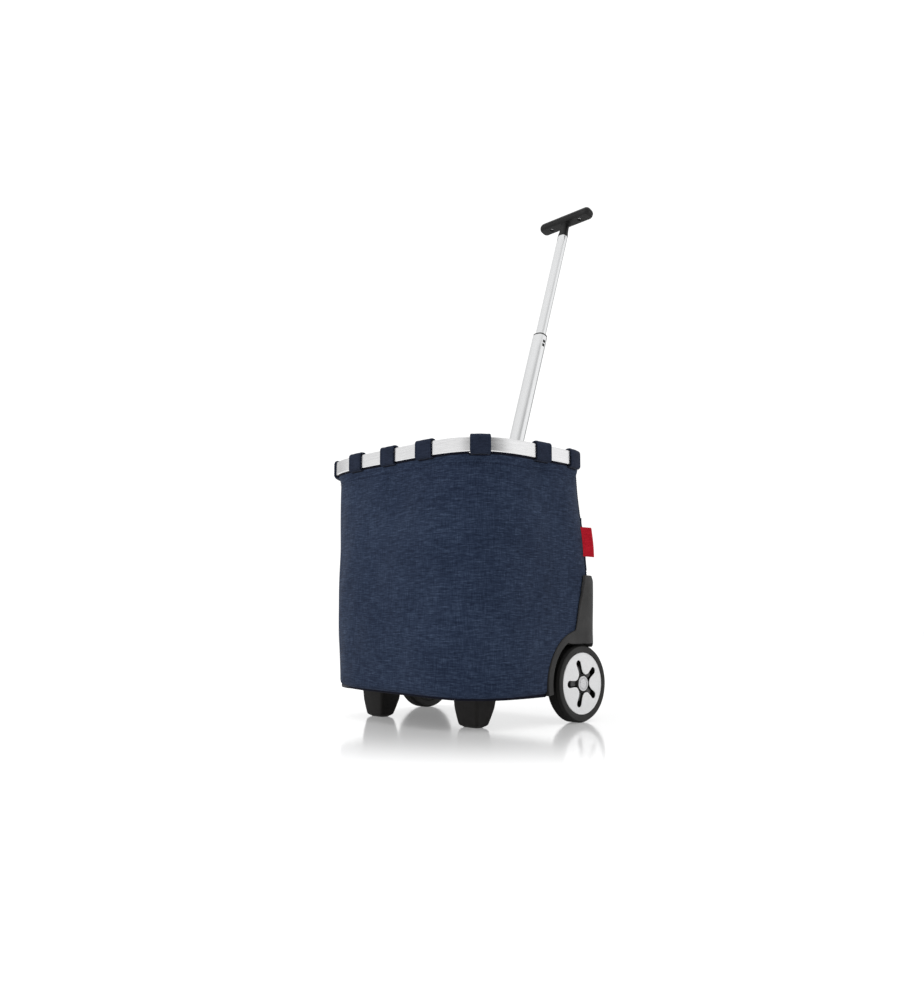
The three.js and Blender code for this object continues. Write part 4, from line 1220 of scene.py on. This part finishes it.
# socket that carries the sleeve on the floor board
def build_socket():
    sf = POLE0 + PU * -688
    plate = make("pl", *loft([np.column_stack([rrect(30 - e, 34 - e, 6) + [0, sf[1]], np.full(36, h)]) for e, h in ((0.2, 58.3), (0, 59), (0, 62), (0.9, 63.0))]), M_BRACKET, smooth=False)
    v, f = stack([(rrect(25, 23, 7), -722), (rrect(22, 20, 7), -690), (rrect(21, 19, 7), -664), (rrect(20.2, 18.2, 7), -662)])
    cup = make("cup", v, f, M_BRACKET, smooth=False)
    lo = make("lo", *loft([np.column_stack([rrect(90, 90, 3) + [0, sf[1]], np.full(36, h)]) for h in (-40, 58.3)]), M_BRACKET, smooth=False)
    cut(cup, lo)
    ribs = []
    for sd in (-1, 1):
        pts = [(sf[1] - 30, 60), (sf[1] + 30, 60), (sf[1] + 10, 84), (sf[1] - 8, 84)]
        ribs.append(prism_x("rib", pts, 4 * sd if sd > 0 else -9 + 0, 9 if sd > 0 else -4, M_BRACKET, 1))
    ob = join("sleeve_socket", [plate, cup, *ribs])
    melt(ob, 0.9, 3, 0.5, 0.35)
    v, f = stack([(oval(33.4, 29.4), -687.8), (oval(33.4, 29.4), -600)])
    cut(ob, make("cut_tmp", v, f, M_BRACKET, smooth=False))
    shade(ob, 40)
    return ob


piece(build_socket(), "frame", "bracket_plastic", "pole_socket")


# -------------------------------------------------------------- wheel brackets
def bag_radial(z, ang, d):
    """Radius of the bag's nominal outline at polar angle ang, height z, pushed out by d."""
    a, bf, br, nf, nr = [float(np.interp(z, ZS, p)) for p in PAR]
    c, s = np.cos(ang), np.sin(ang)
    b = np.where(s > 0, br, bf)
    n = np.where(s > 0, nr, nf)
    return (np.abs(c / (a + d)) ** n + np.abs(s / (b + d)) ** n) ** (-1 / n)


def build_bracket(side):
    nm = "right" if side > 0 else "left"
    AY, AZ = 104.0, 65.0
    parts = []
    rr = rrect(205.7, 164.4, 48, 24)
    clip = make("clip", *loft([np.column_stack([rr, np.full(len(rr), h)]) for h in (-20, 300)]), M_BRACKET, smooth=False)
    prof = np.vstack([arc_pts(AY, AZ, 90.2, 190.5, 49, 90), arc_pts(AY, AZ, 78.3, 49, 190.5, 90)])
    parts.append(cut(prism_x("fender", prof, 170.2, 205.7, M_BRACKET, side), clip, "INTERSECT", True))
    plate = np.vstack([arc_pts(AY, AZ, 90.2, 190.5, 49, 60), [[164.5, 131], [164.5, 50], [15.6, 50]]])
    parts.append(cut(prism_x("plate", plate, 168.1, 171.8, M_BRACKET, side), clip, "INTERSECT"))
    # arm up the rear corner
    zr = np.concatenate([np.linspace(131.6, 160.0, 30), np.linspace(163.0, 248.0, 34)])
    front = np.interp(zr, [131.6, 132.8, 134.5, 140, 144, 149, 154, 168, 192, 217, 248], [76, 68, 61, 60, 66, 78, 86.5, 91, 97, 106, 116])
    ker3 = np.array([0.25, 0.5, 0.25])
    front = np.convolve(np.pad(front, 1, mode="edge"), ker3, mode="valid")
    rings = []
    for z, yf in zip(zr, front):
        # outer curve: rounded rectangle from the side face to the rear face
        A, B, R = 206.4, 166.5, 48.0
        k = sstep(238, 248.2, z)
        kb = 1 - sstep(132, 235, z)
        A, B = A - 1.6 * k - 0.9 * kb, B - 1.6 * k - 2.3 * kb
        outer = [(A, yf)]
        if yf < B - R:
            outer += [(A, y) for y in np.linspace(yf, B - R, 8)[1:]]
            th0 = 0.0
        else:
            th0 = math.asin(min(1.0, (yf - (B - R)) / R))
            outer = [(A - R + R * math.cos(th0), yf)]
        outer += [(A - R + R * math.cos(t), B - R + R * math.sin(t)) for t in np.linspace(th0, math.pi / 2, 30)[1:]]
        outer += [(x, B) for x in np.linspace(A - R, 150, 6)[1:]]
        outer = np.array(outer)
        # even count
        d = np.concatenate([[0], np.cumsum(np.linalg.norm(np.diff(outer, axis=0), axis=1))])
        w = np.linspace(0, d[-1], 44)
        outer = np.column_stack([np.interp(w, d, outer[:, 0]), np.interp(w, d, outer[:, 1])])
        ang = np.arctan2(outer[:, 1], outer[:, 0])
        r = bag_radial(z, ang, 0.9)
        ro = np.linalg.norm(outer, axis=1)
        r = np.minimum(r, ro - 2.0)
        inner = np.column_stack([r * np.cos(ang), r * np.sin(ang)])
        ring = np.vstack([outer, inner[::-1]])
        rings.append(np.column_stack([ring[:, 0] * side, ring[:, 1], np.full(len(ring), z)]))
    parts.append(make("arm", *loft(np.array(rings)), M_BRACKET, smooth=False))
    # underside shelf between the arm and the plate
    zs = np.linspace(131.5, 140, 5)
    rings = []
    for z in zs:
        pts = [(168.5, 112), (205.6, 112)]
        A, B, R = 205.4, 164.0, 48.0
        pts += [(A - R + R * math.cos(t), B - R + R * math.sin(t)) for t in np.linspace(0.05, math.pi / 2 - 0.22, 24)]
        pts += [(168.5, 163.0)]
        p = np.array(pts)
        rings.append(np.column_stack([p[:, 0] * side, p[:, 1], np.full(len(p), z)]))
    parts.append(make("shelf", *loft(np.array(rings)), M_BRACKET, smooth=False))
    parts.append(lathe("boss", [(0, 163.2), (13, 163.2), (14, 164.5), (14, 175), (13, 175.9), (0, 175.9)], M_BRACKET, (AY, AZ), side, 64))
    # stiffening ribs on the well wall, seen from outside behind the wheel
    for a in range(0, 360, 45):
        t = math.radians(a + 22.5)
        d, n = np.array([math.cos(t), math.sin(t)]), np.array([-math.sin(t), math.cos(t)])
        c = np.array([AY, AZ])
        p = [c + d * 12 + n * 1.1, c + d * 46 + n * 1.1, c + d * 46 - n * 1.1, c + d * 12 - n * 1.1]
        parts.append(prism_x("rib", p, 171, 173.6, M_BRACKET, side))
    ob = join(f"bracket_{nm}", parts)
    melt(ob, 0.95, 3, 0.5, 0.3)
    shade(ob, 45)
    return ob


for side, nm in ((-1, "left"), (1, "right")):
    piece(build_bracket(side), "frame", "bracket_plastic", f"wheel_bracket_{nm}")


# --------------------------------------------------------------------- wheels
def build_wheel(side, nm):
    c = (104.0, 65.0)
    body = f"wheel_{nm}"
    x0, x1 = 176.4, 205.0
    prof = round_profile([(52, x0 + 1.2), (60.5, x0), (65, x0 + 5.8), (65, x1 - 5.8), (61.9, x1 - 0.9), (60.6, x1 - 0.1), (56.2, x1 + 0.1), (54.0, x1 - 0.5), (52.1, x1 - 0.9)],
                         [0.8, 3.0, 3.6, 3.6, 1.0, 0.8, 1.2, 0.8, 0.4], 6)
    # fine grooves on the tread and a moulded line on the shoulder
    pts = []
    for a, b in zip(prof, np.roll(prof, -1, 0)):
        pts.append(a)
        if abs(a[0] - 65) < 0.05 and abs(b[0] - 65) < 0.05:
            for g in np.linspace(a[1], b[1], 8)[1:-1]:
                s = np.sign(b[1] - a[1])
                pts += [(65, g - s * 0.55), (64.55, g - s * 0.25), (64.55, g + s * 0.25), (65, g + s * 0.55)]
    # faces beyond radius 62.4 (the tread) take the darker rubber with painted shade, the rest takes the side wall
    # rubber
    tyre = lathe(f"tyre_{nm}_rubber", pts, [M_TREAD_SHADE, M_WALL], c, side, 160, 35, lambda q: 1 if q[0] < 62.4 else 0)
    piece(tyre, body, "tyre", f"tyre_{nm}")
    core_prof = round_profile([(5.5, x0 + 0.6), (15, x0 + 0.6), (15, x0 + 8), (45, x0 + 10), (45, x0 + 2), (51.7, x0 + 2), (51.7, x1 - 3.5),
                               (46, x1 - 3.5), (45, x1 - 12), (17, x1 - 12), (16, x1 - 1.2), (13, x1 - 1.2), (12.6, x1 - 8), (5.5, x1 - 8)],
                              [0.3, 1, 1.5, 1.5, 0.6, 0.4, 0.4, 0.6, 1.5, 1.5, 0.8, 0.5, 0.5, 0.3], 3)
    core = lathe(f"wheel_{nm}_core_a", core_prof, M_CORE, c, side, 96, 35)
    ribs = []
    for k in range(5):                       # raised ribs seen through the slots near the hub
        t = math.radians(180 - 72 * k)
        d, n = np.array([math.cos(t), math.sin(t)]), np.array([-math.sin(t), math.cos(t)])
        cc = np.array(c)
        sec = []
        for h, g in ((x1 - 13, 0.0), (x1 - 4.4, 0.0), (x1 - 3.6, 0.8)):
            p = [cc + d * 15 + n * (4.0 - g), cc + d * (28.5 - g) + n * (4.1 - g), cc + d * (28.5 - g) - n * (4.1 - g), cc + d * 15 - n * (4.0 - g)]
            sec.append(np.column_stack([np.full(4, side * h), np.array(p)]))
        ribs.append(make("rib", *loft(sec), M_SPOKE, smooth=False))
    core = join(f"wheel_{nm}_core_body", [core, *ribs])
    shade(core, 35)
    piece(core, body, "black_plastic", f"wheel_core_{nm}")
    # silver cover, gently dished, with a rolled rim and five tapered slots
    dp = [(16.4, x1 - 0.55), (20, x1 - 0.6), (28, x1 - 0.85), (36, x1 - 1.2), (44, x1 - 1.65), (48.5, x1 - 2.2), (51.3, x1 - 2.3), (51.5, x1 - 1.4)]
    for q in np.linspace(0, 1, 6):
        dp.append((51.3 - 1.8 * q, x1 - 1.2 + 0.5 * math.sin(q * math.pi)))
    dp += [(48.5, x1 - 1.25), (44, x1 - 0.75), (36, x1 - 0.3), (28, x1 + 0.05), (20, x1 + 0.3), (17.2, x1 + 0.35), (16.5, x1 + 0.1)]
    disc = lathe(f"wheel_{nm}_cover", dp, M_SILVER, c, side, 160, 35)
    for k in range(5):
        t = math.radians(180 - 72 * k)
        d, n = np.array([math.cos(t), math.sin(t)]), np.array([-math.sin(t), math.cos(t)])
        loc = [(10, 7.8), (15.5, 7.2), (18.8, 5.5), (24, 5.1), (34.4, 6.1)]
        for q in np.linspace(0, math.pi, 17)[1:-1]:
            loc.append((34.6 + 6.1 * math.sin(q), 6.1 * math.cos(q)))
        loc += [(34.4, -6.1), (24, -5.1), (18.8, -5.5), (15.5, -7.2), (10, -7.8)]
        p = np.array([np.array(c) + d * r + n * w for r, w in loc])
        cut(disc, prism_x("cut_tmp", p, 190, 220, M_SILVER, side))
    soften(disc, 0.22, 2, 40)
    shade(disc, 35)
    piece(disc, body, "silver_plastic", f"wheel_disc_{nm}")
    cp = [(0, x1 - 1.4), (10.3, x1 - 1.4), (12.3, x1 - 0.8), (12.6, x1 + 0.1), (12.2, x1 + 0.8), (11.4, x1 + 1.1), (10.4, x1 + 0.95), (9.9, x1 + 0.35), (9.7, x1 - 0.25), (9.0, x1 - 0.3), (8.8, x1 + 0.2), (8.3, x1 + 0.7)]
    for q in np.linspace(0.05, 1, 8):
        cp.append((8.1 * (1 - q) if q < 1 else 0.0, x1 + 0.75 + 0.65 * math.sin(q * math.pi / 2)))
    cap = lathe(f"wheel_{nm}_cap", cp, M_CHROME, c, side, 96, 35)
    piece(cap, body, "silver_plastic", f"wheel_cap_{nm}")


for side, nm in ((-1, "left"), (1, "right")):
    build_wheel(side, nm)


# ----------------------------------------------------------------- front feet
def build_foot(side, nm):
    rows = []
    for q in np.linspace(0, 1, 40):
        z = 49.4 * q
        hx = np.interp(z, [0, 3, 14, 30, 49.6], [18.6, 21.4, 24.0, 27.2, 28.8])
        hy = np.interp(z, [0, 3, 14, 30, 49.6], [11.0, 14.2, 17.4, 21.6, 24.6])
        cy = np.interp(z, [0, 14, 30, 49.6], [-72.0, -70.8, -69.2, -68.0])
        rnd = 3.2 * (1 - sstep(0, 6.0, z)) ** 1.5
        rows.append(np.column_stack([rrect(hx - rnd, hy - rnd, max(2.2, np.interp(z, [0, 49], [4.5, 6.5])), 6) + [side * 118, cy], np.full(28, z)]))
    v, f = loft(rows)
    ob = make(f"foot_{nm}_block", v, f, M_FOOT, angle=40)
    soften(ob, 0.8, 3, 40)
    shade(ob, 40)
    return ob


for side, nm in ((-1, "left"), (1, "right")):
    piece(build_foot(side, nm), "frame", "black_plastic", f"foot_{nm}")

# remaining CAD nodes keep their shape and get finished materials
for node, mat in (("band_rivet_left", M_STEEL), ("band_rivet_right", M_STEEL), ("axle_bolt_left", M_STEEL), ("axle_bolt_right", M_STEEL),
                  ("axle_ring_left", M_STEEL), ("axle_ring_right", M_STEEL), ("release_rod", M_STEEL), ("lock_pin", M_STEEL), ("upper_tube_plug", M_BLACK)):
    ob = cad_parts[node]
    if not ob.material_slots:
        ob.data.materials.append(mat)
    for sl in ob.material_slots:
        sl.material = mat

# -------------------------------------------------------------- floor and light
floor_me = bpy.data.meshes.new("studio_floor")
nseg = 96
pts = [(0.0, 0.0, 0.0)] + [(14 * math.cos(2 * math.pi * k / nseg), 14 * math.sin(2 * math.pi * k / nseg), 0.0) for k in range(nseg)]
floor_me.from_pydata(pts, [], [(0, 1 + k, 1 + (k + 1) % nseg) for k in range(nseg)])
floor = bpy.data.objects.new("studio_floor", floor_me)
SCENE.collection.objects.link(floor)
fm = Mat("studio_floor_gloss")
fm.color(fm.ramp(fm.noise((1.5, 1.5, 1.5), 2.0, 0.5), [(0.3, (0.50, 0.50, 0.50)), (0.7, (0.52, 0.52, 0.52))]))
fm.set(Roughness=1.0, Specular_IOR_Level=0.0, Emission_Color=(1.0, 1.0, 1.0, 1.0), Emission_Strength=0.50)
ft = fm.t
gl_ = ft.nodes.new("ShaderNodeBsdfGlossy")
gl_.inputs["Roughness"].default_value = 0.12
gl_.inputs["Color"].default_value = (1.0, 1.0, 1.0, 1.0)
mx_ = ft.nodes.new("ShaderNodeMixShader")
# the floor is glossiest around the trolley and turns matt further out
tc_ = ft.nodes.new("ShaderNodeTexCoord")
ln_ = ft.nodes.new("ShaderNodeVectorMath")
ln_.operation = "LENGTH"
ft.links.new(tc_.outputs["Object"], ln_.inputs[0])
fd_ = ft.nodes.new("ShaderNodeMapRange")
fd_.interpolation_type = "SMOOTHSTEP"
for k, v in ((1, 0.30), (2, 0.74), (3, 0.55), (4, 0.0)):
    fd_.inputs[k].default_value = v
ft.links.new(ln_.outputs["Value"], fd_.inputs[0])
ft.links.new(fd_.outputs[0], mx_.inputs[0])
out_ = next(n for n in ft.nodes if n.type == "OUTPUT_MATERIAL")
ft.links.new(fm.b.outputs[0], mx_.inputs[1])
ft.links.new(gl_.outputs[0], mx_.inputs[2])
ft.links.new(mx_.outputs[0], out_.inputs["Surface"])
floor_me.materials.append(fm.m)

world = bpy.data.worlds.new("studio_world")
SCENE.world = world
world.use_nodes = True
wt = world.node_tree
bg = wt.nodes["Background"]
bg.inputs["Strength"].default_value = 1.1
# studio walls: bright screens front-left and rear-right, greyer gaps between them
tc = wt.nodes.new("ShaderNodeTexCoord")
sx = wt.nodes.new("ShaderNodeSeparateXYZ")
wt.links.new(tc.outputs["Generated"], sx.inputs[0])
at = wt.nodes.new("ShaderNodeMath")
at.operation = "ARCTAN2"
wt.links.new(sx.outputs["Y"], at.inputs[0])
wt.links.new(sx.outputs["X"], at.inputs[1])
mr = wt.nodes.new("ShaderNodeMapRange")
for k, v in ((1, -math.pi), (2, math.pi), (3, 0.0), (4, 1.0)):
    mr.inputs[k].default_value = v
wt.links.new(at.outputs[0], mr.inputs[0])
rp = wt.nodes.new("ShaderNodeValToRGB")
rp.color_ramp.interpolation = "EASE"
el = rp.color_ramp.elements
STOPS = [(0.0, 0.62), (0.04, 0.70), (0.085, 0.92), (0.19, 1.02), (0.25, 0.98), (0.29, 0.62), (0.335, 0.36), (0.40, 0.2), (0.475, 0.2),
         (0.535, 0.55), (0.585, 1.1), (0.68, 1.1), (0.725, 0.34), (0.78, 0.28), (0.83, 0.85), (0.90, 0.98), (1.0, 0.62)]
while len(el) < len(STOPS):
    el.new(0.5)
for k, (q, v) in enumerate(STOPS):
    el[k].position = q
    el[k].color = (v, v, v, 1.0)
wt.links.new(mr.outputs[0], rp.inputs["Fac"])
up = wt.nodes.new("ShaderNodeMapRange")
for k, v in ((1, 0.25), (2, 0.75), (3, 0.0), (4, 1.0)):
    up.inputs[k].default_value = v
wt.links.new(sx.outputs["Z"], up.inputs[0])
mu = wt.nodes.new("ShaderNodeMix")
mu.data_type = "RGBA"
wt.links.new(up.outputs[0], mu.inputs[0])
wt.links.new(rp.outputs["Color"], mu.inputs[6])
mu.inputs[7].default_value = (1.0, 1.0, 1.0, 1.0)
lp = wt.nodes.new("ShaderNodeLightPath")
mc = wt.nodes.new("ShaderNodeMix")
mc.data_type = "RGBA"
wt.links.new(lp.outputs["Is Camera Ray"], mc.inputs[0])
wt.links.new(mu.outputs[2], mc.inputs[6])
mc.inputs[7].default_value = (1.0, 1.0, 1.0, 1.0)
wt.links.new(mc.outputs[2], bg.inputs["Color"])


def area(name, loc, target, size, power, color=(1, 1, 1)):
    li = bpy.data.lights.new(name, "AREA")
    li.shape = "RECTANGLE"
    li.size, li.size_y = size
    li.energy = power
    li.color = color
    ob = bpy.data.objects.new(name, li)
    SCENE.collection.objects.link(ob)
    ob.location = loc
    ob.rotation_euler = (Vector(target) - Vector(loc)).to_track_quat("-Z", "Y").to_euler()
    ob.visible_glossy = False
    return ob


area("top_softbox", (0.2, -0.3, 3.0), (0, 0, 0.2), (3.4, 3.4), 44)
area("key_softbox", (-1.2, -2.6, 1.6), (0, 0, 0.4), (1.8, 1.6), 22)
area("rim_softbox", (2.4, 1.0, 1.4), (0, 0, 0.5), (1.0, 1.6), 8)

SCENE.view_settings.view_transform = "Standard"
SCENE.view_settings.look = "None"
SCENE.view_settings.exposure = 0.0
SCENE.view_settings.gamma = 1.0
